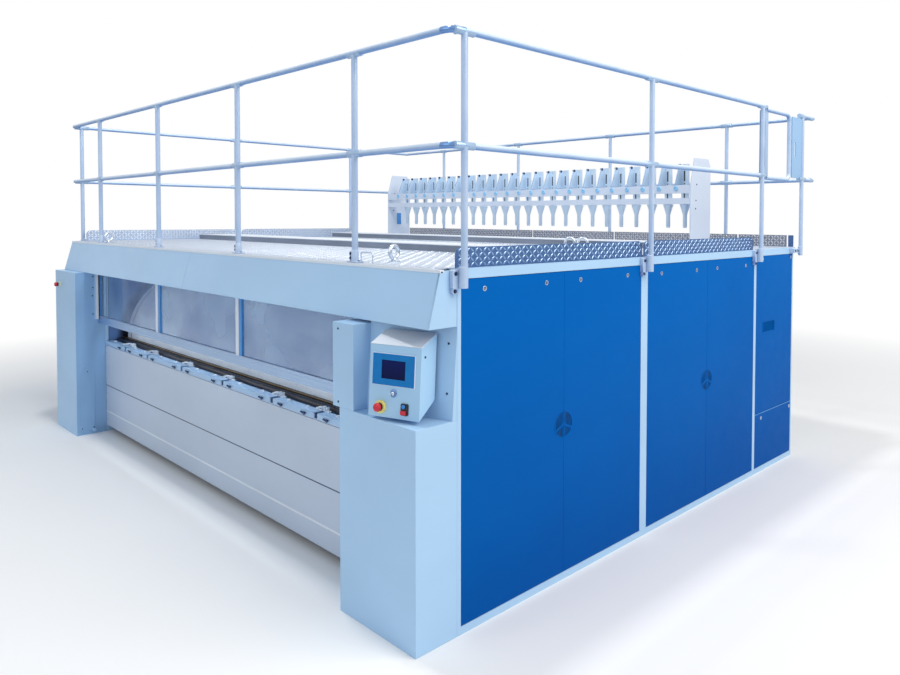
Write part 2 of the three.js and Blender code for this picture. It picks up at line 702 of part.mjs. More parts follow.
// ---------------------------------------------------------------- deck

/** The deck plate with a stiffening bar under its rear edge. */
function deck() {
  const width = [-DECK_HALF_WIDTH, DECK_HALF_WIDTH];
  return join([
    block(width, [DECK_FRONT_Y, DECK_REAR_Y], [DECK_TOP - DECK_PLATE, DECK_TOP]),
    block(width, [DECK_REAR_Y - 40, DECK_REAR_Y], [BEAM_BOTTOM, DECK_TOP - DECK_PLATE + 1]),
  ]);
}

/** A low hood across the deck, hollow underneath. */
function ventHood(frontY) {
  const base = DECK_TOP + GAP;
  const width = [-HOOD.halfWidth, HOOD.halfWidth];
  const outer = block(width, [frontY, frontY + HOOD.depth], [base, DECK_TOP + HOOD.height]);
  const hollow = block(
    [-HOOD.halfWidth + 4, HOOD.halfWidth - 4],
    [frontY + 4, frontY + HOOD.depth - 4],
    [base - 1, DECK_TOP + HOOD.height - 4],
  );
  return join([outer], [hollow]);
}

/** A toe board along one side, with rounded upper corners and a break at the middle post. */
function sideToeBoard(side) {
  const base = DECK_TOP + GAP;
  const top = DECK_TOP + TOE_BOARD.height;
  const corner = 40;
  const [start, end] = TOE_BOARD_ENDS_Y;
  const outline = new THREE.Shape();
  outline.moveTo(start, base);
  outline.lineTo(end, base);
  outline.lineTo(end, top - corner);
  outline.absarc(end - corner, top - corner, corner, 0, Math.PI / 2, false);
  outline.lineTo(start + corner, top);
  outline.absarc(start + corner, top - corner, corner, Math.PI / 2, Math.PI, false);
  const board = prismAlongX(outline, mirrored(side, TOE_BOARD.x, TOE_BOARD.x + TOE_BOARD.thickness), 5);
  const cutWidth = mirrored(side, TOE_BOARD.x - 1, TOE_BOARD.x + TOE_BOARD.thickness + 1);
  const cut = block(cutWidth, TOE_BOARD_BREAK_Y, [base + 12, top + 1]);
  return join([board], [cut]);
}

addPart('deck', deck(), material.deckPlate);
addPart('vent_hood_front', ventHood(HOOD_FRONT_Y[0]), material.panel);
addPart('vent_hood_rear', ventHood(HOOD_FRONT_Y[1]), material.panel);
for (const [sideName, side] of sides) {
  addPart(`toe_board_${sideName}`, sideToeBoard(side), material.deckPlate);
}
addPart(
  'toe_board_rear',
  block(
    [-DECK_HALF_WIDTH + 10, DECK_HALF_WIDTH - 10],
    [DECK_REAR_Y - 15, DECK_REAR_Y - 15 + TOE_BOARD.thickness],
    [DECK_TOP + GAP, DECK_TOP + TOE_BOARD.height],
  ),
  material.deckPlate,
);

// ---------------------------------------------------------------- guardrails

const railHeights = [MID_RAIL_Z, TOP_RAIL_Z];

function frontGuardrail() {
  const reach = SIDE_RAIL_X - TUBE_RADIUS - GAP;
  const foot = DECK_TOP + GAP;
  const plateDepth = [FRONT_RAIL_Y - 24, FRONT_RAIL_Y + 24];
  return join([
    ...railHeights.map((z) => bar('x', [-reach, reach], [FRONT_RAIL_Y, z], TUBE_RADIUS)),
    ...CROSS_POSTS_X.map((x) => bar('z', [foot, TOP_RAIL_Z], [x, FRONT_RAIL_Y], TUBE_RADIUS)),
    ...CROSS_POSTS_X.map((x) => block([x - 45, x + 45], plateDepth, [foot, foot + 8])),
  ]);
}

/** A foot bracket bolted to a cabinet's top beam, with a narrow tab down its post. */
function sideBracket(side, y) {
  const span = mirrored(side, CABINET_OUTER_X + GAP, SIDE_RAIL_X);
  return [
    block(span, [y - 50, y + 50], [BEAM_BOTTOM + 3, DECK_TOP + 22]),
    block(span, [y - 9, y + 9], [1673, BEAM_BOTTOM + 4]),
  ];
}

/** The rails along one side; the left ones run on to the rear rails, past the gate's place. */
function sideGuardrail(side) {
  const x = side * SIDE_RAIL_X;
  const start = FRONT_RAIL_Y - TUBE_RADIUS;
  const end = side < 0 ? REAR_RAIL_Y - TUBE_RADIUS - GAP : SIDE_POSTS_Y.at(-1);
  return join([
    ...railHeights.map((z) => bar('y', [start, end], [x, z], TUBE_RADIUS)),
    ...SIDE_POSTS_Y.map((y) => bar('z', [1680, TOP_RAIL_Z], [x, y], TUBE_RADIUS)),
    ...SIDE_POSTS_Y.flatMap((y) => sideBracket(side, y)),
  ]);
}

/** The right corner post with its two stub rails and its arm from the cabinet's rear end. */
function cornerPost() {
  const x = SIDE_RAIL_X;
  return [
    bar('z', [1700, TOP_RAIL_Z], [x, CORNER_POST_Y], TUBE_RADIUS),
    ...railHeights.map((z) => bar('y', [CORNER_POST_Y, RAIL_END_Y], [x, z], TUBE_RADIUS)),
    block([CABINET_OUTER_X + GAP, x], [3640, CORNER_POST_Y + 40], [1722, 1758]),
  ];
}

/** The plate on the right corner post that the gate latches on. */
function latchPlate() {
  return block([SIDE_RAIL_X - 4, SIDE_RAIL_X + 4], [3550, CORNER_POST_Y], [MID_RAIL_Z + 5, TOP_RAIL_Z - 25]);
}

function rearGuardrail() {
  const reach = [-SIDE_RAIL_X - TUBE_RADIUS, SIDE_RAIL_X];
  return join([
    ...railHeights.map((z) => bar('x', reach, [REAR_RAIL_Y, z], TUBE_RADIUS)),
    ...CROSS_POSTS_X.map((x) => bar('z', [1700, TOP_RAIL_Z], [x, REAR_RAIL_Y], TUBE_RADIUS)),
    ...CROSS_POSTS_X.map((x) => block([x - 45, x + 45], [DECK_REAR_Y + GAP, REAR_RAIL_Y], [1722, 1758])),
    ...cornerPost(),
    latchPlate(),
  ]);
}

addPart('guardrail_front', frontGuardrail(), material.rail);
addPart('guardrail_left', sideGuardrail(-1), material.rail);
addPart('guardrail_right', sideGuardrail(1), material.rail);
addPart('guardrail_rear', rearGuardrail(), material.rail);

/** The gate: a tube bent into a U on its side, with both ends on a flat hinge bar. */
function gate() {
  const { tubeStart, bend, top, bottom, endY, hingeY } = GATE;
  const end = endY - hingeY;
  const path = new THREE.CurvePath();
  const at = (y, z) => new THREE.Vector3(0, y, z);
  path.add(new THREE.LineCurve3(at(tubeStart, top), at(end - bend, top)));
  path.add(new THREE.QuadraticBezierCurve3(at(end - bend, top), at(end, top), at(end, top - bend)));
  path.add(new THREE.LineCurve3(at(end, top - bend), at(end, bottom + bend)));
  path.add(new THREE.QuadraticBezierCurve3(at(end, bottom + bend), at(end, bottom), at(end - bend, bottom)));
  path.add(new THREE.LineCurve3(at(end - bend, bottom), at(tubeStart, bottom)));
  const section = new THREE.Shape();
  section.absarc(0, 0, TUBE_RADIUS, 0, 2 * Math.PI);
  const tube = new THREE.ExtrudeGeometry(section, {
    extrudePath: path,
    steps: 40,
    bevelEnabled: false,
    curveSegments: 4,
  });
  const hingeBar = block([-4, 4], [6, tubeStart + 30], [bottom - 15, top + 12]);
  return join([tube, hingeBar]);
}

addPart('gate', gate(), material.rail).position.set(SIDE_RAIL_X, GATE.hingeY, 0);

// ---------------------------------------------------------------- lever rack

/** Two end plates standing on the deck, joined by two bars. */
function leverRack() {
  const { y, depth, halfWidth, plate, top } = RACK;
  const base = DECK_TOP + GAP;
  const barWidth = [-halfWidth + 1, halfWidth - 1];
  const profile = [
    [y, base],
    [y + depth, base],
    [y + depth, top - 60],
    [y + depth - 40, top],
    [y + 60, top],
    [y, top - 230],
  ];
  return join([
    ...sides.map(([, side]) => prismAlongX(profile, mirrored(side, halfWidth - plate, halfWidth))),
    ...RACK_BARS_Z.map((span) => block(barWidth, [y + 1, y + 1 + RACK_BAR_DEPTH], span)),
  ]);
}

/** One lever: a back plate, a gusset with a slanted front edge, and a funnel and stem below. */
function leverAt(x) {
  const plate = block([x + LEVER_PLATE.x[0], x + LEVER_PLATE.x[1]], LEVER_PLATE.y, LEVER_PLATE.z);
  const [frontY, backY] = LEVER_PLATE.y;
  const { thickness, topReach, footReach, footZ } = LEVER_GUSSET;
  const gusset = prismAlongX([
    [frontY - footReach, footZ],
    [backY - 1, footZ],
    [backY - 1, LEVER_PLATE.z[1]],
    [frontY - topReach, LEVER_PLATE.z[1]],
  ], [x - thickness / 2, x + thickness / 2]);
  const { topRadius, stemRadius, topZ, neckZ, endZ } = LEVER_FUNNEL;
  const funnel = new THREE.LatheGeometry([
    new THREE.Vector2(0, endZ),
    new THREE.Vector2(stemRadius, endZ),
    new THREE.Vector2(stemRadius, neckZ),
    new THREE.Vector2(topRadius, topZ),
    new THREE.Vector2(0, topZ),
  ], 6).rotateX(Math.PI / 2).translate(x + LEVER_FUNNEL.x, LEVER_FUNNEL.y, 0);
  return [plate, gusset, funnel];
}

function leverBank() {
  const { y, z, radius } = LEVER_SHAFT;
  const [first, last] = LEVER_ENDS_X;
  const pitch = (last - first) / (LEVER_COUNT - 1);
  const reach = RACK.halfWidth - RACK.plate - 2;
  const levers = Array.from({ length: LEVER_COUNT }, (_, index) => leverAt(first + index * pitch));
  return join([bar('x', [-reach, reach], [y, z], radius), ...levers.flat()]);
}

addPart('lever_rack', leverRack(), material.steel);
addPart('tension_levers', leverBank(), material.steel);

// ---------------------------------------------------------------- placing

// The origin lies on the floor, in the middle of the whole object's depth.
const frontMost = COLUMN_FRONT_Y - ESTOP_REACH;
machine.position.y = -(frontMost + RAIL_END_Y) / 2;

const ironer = new THREE.Group();
ironer.add(machine);

export default ironer;
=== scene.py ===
import math

import bmesh
import bpy
from mathutils import Matrix, Vector


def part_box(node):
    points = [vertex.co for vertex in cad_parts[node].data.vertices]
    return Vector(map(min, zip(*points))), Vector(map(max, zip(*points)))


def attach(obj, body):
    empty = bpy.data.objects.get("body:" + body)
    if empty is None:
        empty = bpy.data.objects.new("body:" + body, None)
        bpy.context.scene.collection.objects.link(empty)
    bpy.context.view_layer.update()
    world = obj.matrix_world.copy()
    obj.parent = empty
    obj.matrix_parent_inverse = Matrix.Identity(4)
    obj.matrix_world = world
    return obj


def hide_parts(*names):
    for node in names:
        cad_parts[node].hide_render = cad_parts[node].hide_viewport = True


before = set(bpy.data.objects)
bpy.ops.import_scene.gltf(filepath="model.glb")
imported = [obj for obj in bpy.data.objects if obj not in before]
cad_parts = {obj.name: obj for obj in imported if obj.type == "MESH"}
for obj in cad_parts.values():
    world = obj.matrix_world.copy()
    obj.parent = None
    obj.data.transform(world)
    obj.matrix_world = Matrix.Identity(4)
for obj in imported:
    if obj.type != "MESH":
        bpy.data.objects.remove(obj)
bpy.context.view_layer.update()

# Looks of a flatwork ironer, in metres. The pieces are placed in the machine's own coordinates:
# X = 0 is its middle, Y = 0 the front plane of its cabinets and Z = 0 the floor.
TO_FRAME = Matrix.Translation((0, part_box("kick_panel")[0].y, 0))


def span(node):
    """Lowest and highest corner of a CAD node, in the machine's coordinates."""
    back = TO_FRAME.inverted()
    return [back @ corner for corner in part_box(node)]


def axle(node):
    """Y and Z of the middle of a turning node."""
    low, high = span(node)
    return (low.y + high.y) / 2, (low.z + high.z) / 2


# ------------------------------------------------------------------ driving sizes

SIDES = (("left", -1), ("right", 1))
CABINET_X = span("side_frame_right")[1].x
DECK_Z = span("deck")[1].z
ON_DECK = DECK_Z + 0.0004
ROUND_VENT_Z = 0.868
LOUVRE = {"y": (3.17, 3.37), "z": (1.107, 1.187)}
LOCKS = {                                # Y of the two locks on each door leaf, and their Z
    1: (0.175, 0.624, 1.66),
    2: (0.908, 1.354, 1.66),
    3: (1.724, 2.156, 1.652),
    4: (2.437, 2.868, 1.652),
    5: (3.15, 3.665, 1.687),
    6: (3.152, 3.668, 0.427),
}

TUBE = 0.0165
SLEEVE = 0.0192
SLEEVE_SHIFT = 0.0025                    # keeps a sleeve inside the rails' outer faces
ELBOW_REACH = 0.075
RAIL_Z = (2.34, 2.87)
SIDE_RAIL_X = 2.833
FRONT_RAIL_Y = -0.07
REAR_RAIL_Y = 3.92
RAIL_END_Y = 3.97
CROSS_POSTS_X = (-2.04, -0.68, 0.68, 2.04)
SIDE_POSTS_Y = (0.004, 1.535, 3.028)
CORNER_POST_Y = 3.754
GATE = {"hinge_y": 3.058, "end_y": 3.5, "bend": 0.06, "top": 2.85, "bottom": 2.325}

LEVER_COUNT = 24
LEVER_ENDS_X = (-1.954, 1.98)
LEVER_PITCH = (LEVER_ENDS_X[1] - LEVER_ENDS_X[0]) / (LEVER_COUNT - 1)
LEVERS_X = [LEVER_ENDS_X[0] + i * LEVER_PITCH for i in range(LEVER_COUNT)]
LEVER_BACK_Y = (3.245, 3.253)
LEVER_Z = (2.090, 2.478)
SLOT = {"x": (0.0205, 0.0345), "z": (2.330, 2.420)}
BOSS_SHIFT = 0.020                       # from a lever to its boss on the upper bar
BAR_FRONT_Y = 3.121
RACK_END_X = 2.15
RACK_PLATE = 0.012

FEED_TOP = 0.845
FEED_NOTCHES_X = (-1.673, -1.149, -0.446, 0.264, 0.980, 1.515)
GLASS_BARS_X = ((-0.79, -0.71), (0.61, 0.69))
TOE_LOZENGE = (0.034, 0.012)
TOE_PITCH = (0.027, 0.0232)
COLUMN_ESTOP = (-2.665, 1.36)
COLUMN_FRONT_Y = -0.245

ROLL_RADIUS = 0.6
ROLL_HALF = 2.15
BOLT_CIRCLE = 0.54
JOURNAL_END = 2.40
CHAIN_X = 2.30
CHAIN_PITCH = 0.0254
SPROCKETS = {"roll_front": 0.2, "roll_rear": 0.2, "motor_sprocket": 0.08}

CONSOLE_PLACE = (2.443, -0.263, 1.06)
CONSOLE_YAW = 15.7
CONSOLE_TILT = 3.7
CONSOLE = {"width": 0.30, "face": 0.345, "depth": 0.118, "lid_rise": 0.060, "bottom_rise": 0.084}
CONSOLE_WALL_DEPTH = 0.134
FACE = (
    Matrix.Translation(CONSOLE_PLACE)
    @ Matrix.Rotation(math.radians(CONSOLE_YAW), 4, "Z")
    @ Matrix.Rotation(math.radians(-CONSOLE_TILT), 4, "X")
)
ESTOP_ON_FACE = (0.076, 0.049)
KEY_ON_FACE = (0.147, 0.118)
START_ON_FACE = (0.213, 0.063)
STOP_ON_FACE = (0.213, 0.035)

CAMERA_PLACE = (5.426577, -2.267688, 2.005769)
CAMERA_TURN = (88.23423, -0.25033, 42.28887)
CAMERA_LENS = 29.383
CAMERA_SHIFT = (-0.10902, -0.10763)


# ------------------------------------------------------------------ mesh helpers

def lift(axis, a, b, along):
    """A point from its place along an axis and its two other coordinates, in X, Y, Z order."""
    return {"x": (along, a, b), "y": (a, along, b), "z": (a, b, along)}[axis]


def polar(centre, radius, turn):
    return centre[0] + radius * math.cos(turn), centre[1] + radius * math.sin(turn)


def arc(centre, radius, steps, start, end):
    """Points along part of a circle, with both of its ends."""
    return [polar(centre, radius, start + (end - start) * i / steps) for i in range(steps + 1)]


def circle(centre, radius, sides):
    return arc(centre, radius, sides, 0, 2 * math.pi)[:-1]


def rectangle(a, b):
    return [(a[0], b[0]), (a[1], b[0]), (a[1], b[1]), (a[0], b[1])]


def rounded(a, b, radius):
    """A rectangle with round corners."""
    outline = []
    corners = [(a[1], b[1], -1, -1), (a[0], b[1], 1, -1), (a[0], b[0], 1, 1), (a[1], b[0], -1, 1)]
    for quarter, (x, y, way_x, way_y) in enumerate(corners):
        start = quarter * math.pi / 2
        outline += arc((x + way_x * radius, y + way_y * radius), radius, 5, start, start + math.pi / 2)
    return outline


def both(side, near, far):
    """A span of X on the right side, or its mirror image on the left."""
    return side * near, side * far


def on_side(side, inner, outer):
    """A span of X by a side cabinet's outer face, as distances outward from it."""
    return both(side, CABINET_X + inner, CABINET_X + outer)


class Solid:
    """Closed shapes gathered into one mesh, each placed by the same matrix."""

    def __init__(self, place=None):
        self.place = place or Matrix.Identity(4)
        self.points = []
        self.faces = []

    def loft(self, rings, closed=False):
        """Joins rings of equally many points, with caps unless the last ring meets the first."""
        start, rows, count = len(self.points), len(rings), len(rings[0])
        faces = []
        for row in range(rows if closed else rows - 1):
            here, after = row * count, (row + 1) % rows * count
            for i in range(count):
                j = (i + 1) % count
                faces.append((here + i, here + j, after + j, after + i))
        if not closed:
            faces += [range(count), range((rows - 1) * count, rows * count)]
        self.points += [self.place @ Vector(point) for ring in rings for point in ring]
        self.faces += [[start + i for i in face] for face in faces]
        return self

    def prism(self, axis, outline, ends):
        return self.loft([[lift(axis, a, b, end) for a, b in outline] for end in ends])

    def block(self, x, y, z):
        return self.prism("z", rectangle(x, y), z)

    def turned(self, axis, centre, profile, sides=28, closed=False):
        """A turned body, whose profile is given as (along the axis, radius) pairs."""
        rings = [[lift(axis, a, b, t) for a, b in circle(centre, r, sides)] for t, r in profile]
        return self.loft(rings, closed)

    def rod(self, axis, ends, centre, radius, sides=24):
        return self.turned(axis, centre, [(end, radius) for end in ends], sides)

    def ring(self, axis, ends, centre, radii, sides):
        """A flat ring between two radii."""
        profile = list(zip((ends[0], ends[0], ends[1], ends[1]), (*radii, *radii[::-1])))
        return self.turned(axis, centre, profile, sides, closed=True)

    def tube(self, points, radius, bend=0.0, sides=20):
        """A round tube along a path, whose corners are rounded by the bend."""
        path = rounded_path(points, bend)
        rings, side = [], None
        for i, point in enumerate(path):
            tangent = (path[min(i + 1, len(path) - 1)] - path[max(i - 1, 0)]).normalized()
            side = side or tangent.orthogonal()
            side = (side - tangent * side.dot(tangent)).normalized()
            other = tangent.cross(side)
            rings.append([point + side * a + other * b for a, b in circle((0, 0), radius, sides)])
        return self.loft(rings)

    def arc_bar(self, axis, centre, radii, angles, ends, steps):
        """A bar bent along part of a circle."""
        inner, outer = (arc(centre, radius, steps, *angles) for radius in radii)
        return self.prism(axis, outer + inner[::-1], ends)

    def button_head(self, axis, surface, outward, centre, radius, height):
        """A domed screw head with a round socket in it."""
        shape = [(-0.3, 1), (0.35, 1), (0.8, 0.8), (1, 0.5), (1, 0.38), (0.3, 0.34)]
        profile = [(surface + outward * height * up, radius * out) for up, out in shape]
        return self.turned(axis, centre, profile, 16)

    def hex_bolt(self, axis, surface, outward, centre, radius):
        """A hexagon head on a washer."""
        washer = [(surface - outward * 0.0005, 1.35 * radius), (surface + outward * 0.0015, 1.3 * radius)]
        shape = [(0, 1), (0.6, 1), (0.7, 0.85)]
        head = [(surface + outward * (0.001 + up * radius), out * radius) for up, out in shape]
        return self.turned(axis, centre, washer, 20).turned(axis, centre, head, 6)

    def lozenges(self, corner, along, across, size, pitch, rise, skip=None):
        """Tread plate's raised lozenges on a rectangle, turned crosswise to their neighbours."""
        corner, along, across = Vector(corner), Vector(along), Vector(across)
        columns, rows = int(along.length / pitch[0]), int(across.length / pitch[1])
        u, v = along.normalized(), across.normalized()
        out = u.cross(v)
        for i in range(columns):
            for j in range(rows):
                centre = corner + along * ((i + 0.5) / columns) + across * ((j + 0.5) / rows)
                if skip and skip(centre):
                    continue
                axis = (u + v * (1 if (i + j) % 2 else -1)).normalized()
                tips = [axis * size[0] / 2, out.cross(axis) * size[1] / 2]
                tips += [-tip for tip in tips]
                low = [centre + tip - out * 0.0003 for tip in tips]
                high = [centre + tip * 0.55 + out * rise for tip in tips]
                self.loft([low, high])
        return self


def rounded_path(points, bend, steps=8):
    """A path's points, with each corner replaced by a curve."""
    points = [Vector(point) for point in points]
    path = [points[0]]
    for before, corner, after in zip(points, points[1:], points[2:]):
        start = corner + (before - corner).normalized() * bend
        end = corner + (after - corner).normalized() * bend
        for t in (i / steps for i in range(steps + 1)):
            path.append(start * (1 - t) ** 2 + corner * 2 * t * (1 - t) + end * t * t)
    return [*path, points[-1]]


def piece(name, solid, finish, body="frame", replaces=(), bevel=0.0, smooth=35):
    """Makes one piece of the object from a solid, which rides on a body."""
    mesh = bpy.data.meshes.new(name)
    mesh.from_pydata([TO_FRAME @ point for point in solid.points], [], solid.faces)
    outward = bmesh.new()
    outward.from_mesh(mesh)
    bmesh.ops.recalc_face_normals(outward, faces=outward.faces)
    outward.to_mesh(mesh)
    outward.free()
    mesh.materials.append(finish.material)
    mesh.shade_smooth()
    mesh.set_sharp_from_angle(angle=math.radians(smooth))
    made = bpy.data.objects.new(name, mesh)
    bpy.context.scene.collection.objects.link(made)
    if bevel:
        soften(made, bevel)
    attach(made, body)
    if replaces:
        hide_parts(*replaces)


def soften(thing, width):
    """Rounds the edges of a piece a little, as folded sheet and castings are."""
    rounding = thing.modifiers.new("edges", "BEVEL")
    rounding.width = width
    rounding.segments = 2
    rounding.limit_method = "ANGLE"
    rounding.angle_limit = math.radians(30)
    rounding.harden_normals = True


# ------------------------------------------------------------------ materials

def srgb(colour, factor=1.0):
    """A colour given as it looks on a screen, 0 to 255, in linear light times a factor."""
    def linear(value):
        value /= 255
        return value / 12.92 if value <= 0.04045 else ((value + 0.055) / 1.055) ** 2.4
    return tuple(min(1.0, linear(value) * factor) for value in colour) + (1.0,)


class Finish:
    """A material built node by node round one Principled shader."""

    def __init__(self, name, **shader):
        self.material = bpy.data.materials.new(name)
        self.material.use_nodes = True
        self.tree = self.material.node_tree
        self.shader = self.tree.nodes["Principled BSDF"]
        self.place = self.add("TexCoord").outputs["Object"]
        for socket, value in shader.items():
            self.shader.inputs[socket.replace("_", " ")].default_value = value

    def add(self, kind, feeds=(), **settings):
        """A new node, with its settings and what is fed into its inputs."""
        node = self.tree.nodes.new(f"ShaderNode{kind}")
        for key, value in settings.items():
            setattr(node, key, value)
        for socket, value in dict(feeds).items():
            self.feed(node.inputs[socket], value)
        return node

    def feed(self, socket, value):
        if isinstance(value, bpy.types.NodeSocket):
            self.tree.links.new(value, socket)
        else:
            socket.default_value = value

    def noise(self, scale, detail, stretch=(1, 1, 1), distortion=0.0):
        place = self.add("Mapping", {"Vector": self.place, "Scale": stretch}).outputs[0]
        feeds = {"Vector": place, "Scale": scale, "Detail": detail, "Distortion": distortion}
        return self.add("TexNoise", feeds).outputs[0]

    def spread(self, value, source=(0.3, 0.7), target=(0, 1)):
        """Maps one span of values to another, clamped."""
        numbers = zip(("From Min", "From Max", "To Min", "To Max"), (*source, *target))
        return self.add("MapRange", {"Value": value, **dict(numbers)}).outputs[0]

    def math(self, operation, a, b=0.0):
        return self.add("Math", {0: a, 1: b}, operation=operation).outputs[0]

    def mixed(self, factor, first, second):
        return self.add("Mix", {0: factor, 6: first, 7: second}, data_type="RGBA").outputs[2]

    def coordinate(self, axis):
        return self.add("SeparateXYZ", {0: self.place}).outputs[axis]

    def colour(self, factor, first, second):
        """Paints with a blend of two colours, or of two nodes' outputs."""
        self.feed(self.shader.inputs["Base Color"], self.mixed(factor, first, second))

    def shades(self, factor, colour, low, high):
        """Paints with one colour, from a darker to a lighter shade of it."""
        self.colour(factor, srgb(colour, low), srgb(colour, high))

    def roughness(self, value, low, high, source=(0.3, 0.7)):
        self.feed(self.shader.inputs["Roughness"], self.spread(value, source, (low, high)))

    def relief(self, height, depth, strength=1.0):
        """Adds a bump, on top of the ones before it."""
        normal = self.shader.inputs["Normal"]
        before = {"Normal": link.from_socket for link in normal.links}
        feeds = {"Height": height, "Distance": depth, "Strength": strength, **before}
        self.feed(normal, self.add("Bump", feeds).outputs[0])


def painted(name, colour, roughness=0.4, variation=0.05, **shader):
    """Powder-coated sheet: faintly uneven tone and gloss, with a fine orange peel."""
    finish = Finish(name, **shader)
    tone = finish.spread(finish.noise(0.9, 5, (1, 1, 2.2)))
    finish.shades(tone, colour, 1 - variation, 1 + variation)
    finish.roughness(finish.noise(6, 4), roughness - 0.05, roughness + 0.06)
    finish.relief(finish.noise(420, 2), 0.00012)
    return finish


def rail_coating():
    """The guardrails' coating, paler on top than underneath as painted light and shade, with a little
    random tone.
    """
    finish = Finish("rail_zinc", Metallic=0.15)
    normal = finish.add("NewGeometry").outputs["Normal"]
    upward = finish.add("SeparateXYZ", {0: normal}).outputs["Z"]
    # Painted light on upward faces and painted shade on downward faces.
    lit_from_above = finish.math("ADD", upward, finish.spread(finish.noise(5, 4), target=(-0.12, 0.12)))
    finish.colour(finish.spread(lit_from_above, (-0.75, 0.6)), srgb((112, 152, 206)), srgb((210, 226, 244)))
    finish.roughness(finish.noise(14, 3), 0.28, 0.38)
    finish.relief(finish.noise(420, 2), 0.0001)
    return finish


def door_blue():
    """The doors' deep blue, a little greener at the top, with a fine texture."""
    finish = Finish("door_blue", Specular_IOR_Level=0.03)
    height = finish.spread(finish.coordinate("Z"), (0.1, 1.7))
    cloud = finish.spread(finish.noise(1.6, 5), target=(-0.12, 0.12))
    finish.colour(finish.math("ADD", height, cloud), srgb((0, 82, 162)), srgb((0, 98, 182)))
    finish.roughness(finish.noise(9, 4), 0.34, 0.46)
    finish.relief(finish.noise(650, 2), 0.0002)
    return finish


def brushed(name, colour, grain=(1, 1, 1), roughness=0.3, variation=0.1):
    """Metal with a fine grain along one direction."""
    finish = Finish(name, Metallic=1.0)
    lines = finish.noise(220, 3, grain)
    patchy = finish.math("ADD", lines, finish.noise(2.2, 4))
    finish.shades(finish.spread(patchy, (0.7, 1.3)), colour, 1 - variation, 1 + variation)
    finish.roughness(lines, roughness - 0.06, roughness + 0.08)
    finish.relief(lines, 0.00006)
    return finish


def galvanised(name, colour, cell, roughness, metallic):
    """Zinc coating: spangles of slightly different grey."""
    finish = Finish(name, Metallic=metallic)
    cells = finish.add("TexVoronoi", {"Vector": finish.place, "Scale": cell}).outputs["Color"]
    spangle = finish.add("SeparateColor", {0: cells}).outputs
    tone = finish.math("ADD", finish.math("MULTIPLY", spangle[0], 0.5), finish.noise(5, 4))
    finish.shades(finish.spread(tone, (0.45, 1.1)), colour, 0.88, 1.06)
    finish.roughness(spangle[1], roughness - 0.05, roughness + 0.08, (0, 1))
    finish.relief(finish.noise(260, 3), 0.00008)
    return finish


def cast_iron():
    """Painted iron with a grainy skin."""
    finish = Finish("machine_iron", Metallic=0.3)
    cloud = finish.noise(7, 6)
    finish.shades(finish.spread(cloud), (84, 92, 104), 0.8, 1.12)
    finish.roughness(cloud, 0.47, 0.65)
    finish.relief(finish.noise(180, 4), 0.0005)
    return finish


def roll_side_wall():
    """Blue-grey paint, with painted shade: near black behind each roll's end and just past its rim, where
    the gap to the wall lies in shadow.
    """
    finish = painted("wall_paint", (92, 124, 176), 0.5, 0.16)
    plain = finish.shader.inputs["Base Color"].links[0].from_socket
    outside_painted_shade = 1.0
    for node in ("roll_front", "roll_rear"):
        low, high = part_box(node)
        centre = (low + high) / 2
        squares = []
        for axis, middle in (("Y", centre.y), ("Z", centre.z)):
            aside = finish.math("SUBTRACT", finish.coordinate(axis), middle)
            squares.append(finish.math("POWER", aside, 2.0))
        reach = finish.math("SQRT", finish.math("ADD", *squares))
        outside_painted_shade = finish.math("MULTIPLY", finish.spread(reach, (0.62, 0.68)), outside_painted_shade)
    # Painted shade: near black where the wall faces a roll's end.
    finish.colour(outside_painted_shade, srgb((14, 20, 38)), plain)
    return finish


def heated_steel():
    """The chest's steel, dark and streaked, browner towards its hot lips."""
    finish = Finish("heated_steel", Metallic=0.9)
    lip = finish.spread(finish.coordinate("Z"), (0.80, 0.872))
    streak = finish.noise(40, 4, (0.15, 1, 1))
    heat = finish.math("MULTIPLY", lip, finish.spread(streak, (0.25, 0.75), (0.5, 1.0)))
    finish.colour(heat, srgb((92, 98, 110)), srgb((48, 42, 40)))
    finish.roughness(streak, 0.3, 0.5)
    finish.relief(streak, 0.0001)
    return finish


def roll_cloth():
    """Needled felt under a fine weave, with a scorched band at each end of the roll."""
    finish = Finish("roll_cloth", Sheen_Weight=0.35, Sheen_Roughness=0.5)
    threads = [
        finish.add("TexWave", {"Vector": finish.place, "Scale": 260}, bands_direction=way).outputs["Fac"]
        for way in "XZ"
    ]
    fibre = finish.noise(55, 5, distortion=0.4)
    tone = finish.spread(finish.math("ADD", fibre, finish.noise(2.5, 4)), (0.7, 1.3))
    cloth = finish.mixed(tone, srgb((204, 213, 226)), srgb((228, 233, 241)))
    reach = finish.math("ABSOLUTE", finish.coordinate("X"))
    edges = (finish.spread(reach, (2.035, 2.041)), finish.spread(reach, (2.053, 2.059), (1, 0)))
    finish.colour(finish.math("MULTIPLY", *edges), cloth, srgb((150, 112, 78)))
    finish.roughness(fibre, 0.82, 0.95)
    finish.relief(finish.math("MULTIPLY", *threads), 0.0006, 0.7)
    finish.relief(fibre, 0.0012, 0.6)
    return finish


def pane_glass():
    """Clear sheet with painted reflection: a pale blue cover that hides more of what is behind it the
    flatter it is looked across, towards +X and in cloudy patches, and so also paints shade on the roll
    behind.
    """
    finish = Finish("pane_glass", Roughness=0.03, IOR=1.5, Specular_IOR_Level=0.9)
    edge = finish.add("Fresnel", {"IOR": 1.45}).outputs[0]
    # Painted reflection of the room: cloudy patches and a rise along X.
    reflection_patch = finish.noise(1.7, 4, (1, 1, 1.4), 0.5)
    along = finish.spread(finish.coordinate("X"), (-2.2, 2.1), (0.14, 0.26))
    painted_reflection = finish.math("ADD", along, finish.spread(reflection_patch, (0.36, 0.66), (0.0, 0.12)))
    gloss = finish.math("MULTIPLY", edge, 0.25)
    finish.feed(finish.shader.inputs["Alpha"], finish.math("ADD", gloss, painted_reflection))
    shade = finish.spread(finish.noise(2.4, 3), (0.34, 0.66))
    finish.colour(shade, srgb((86, 126, 184)), srgb((150, 184, 220)))
    finish.material.surface_render_method = "BLENDED"
    return finish


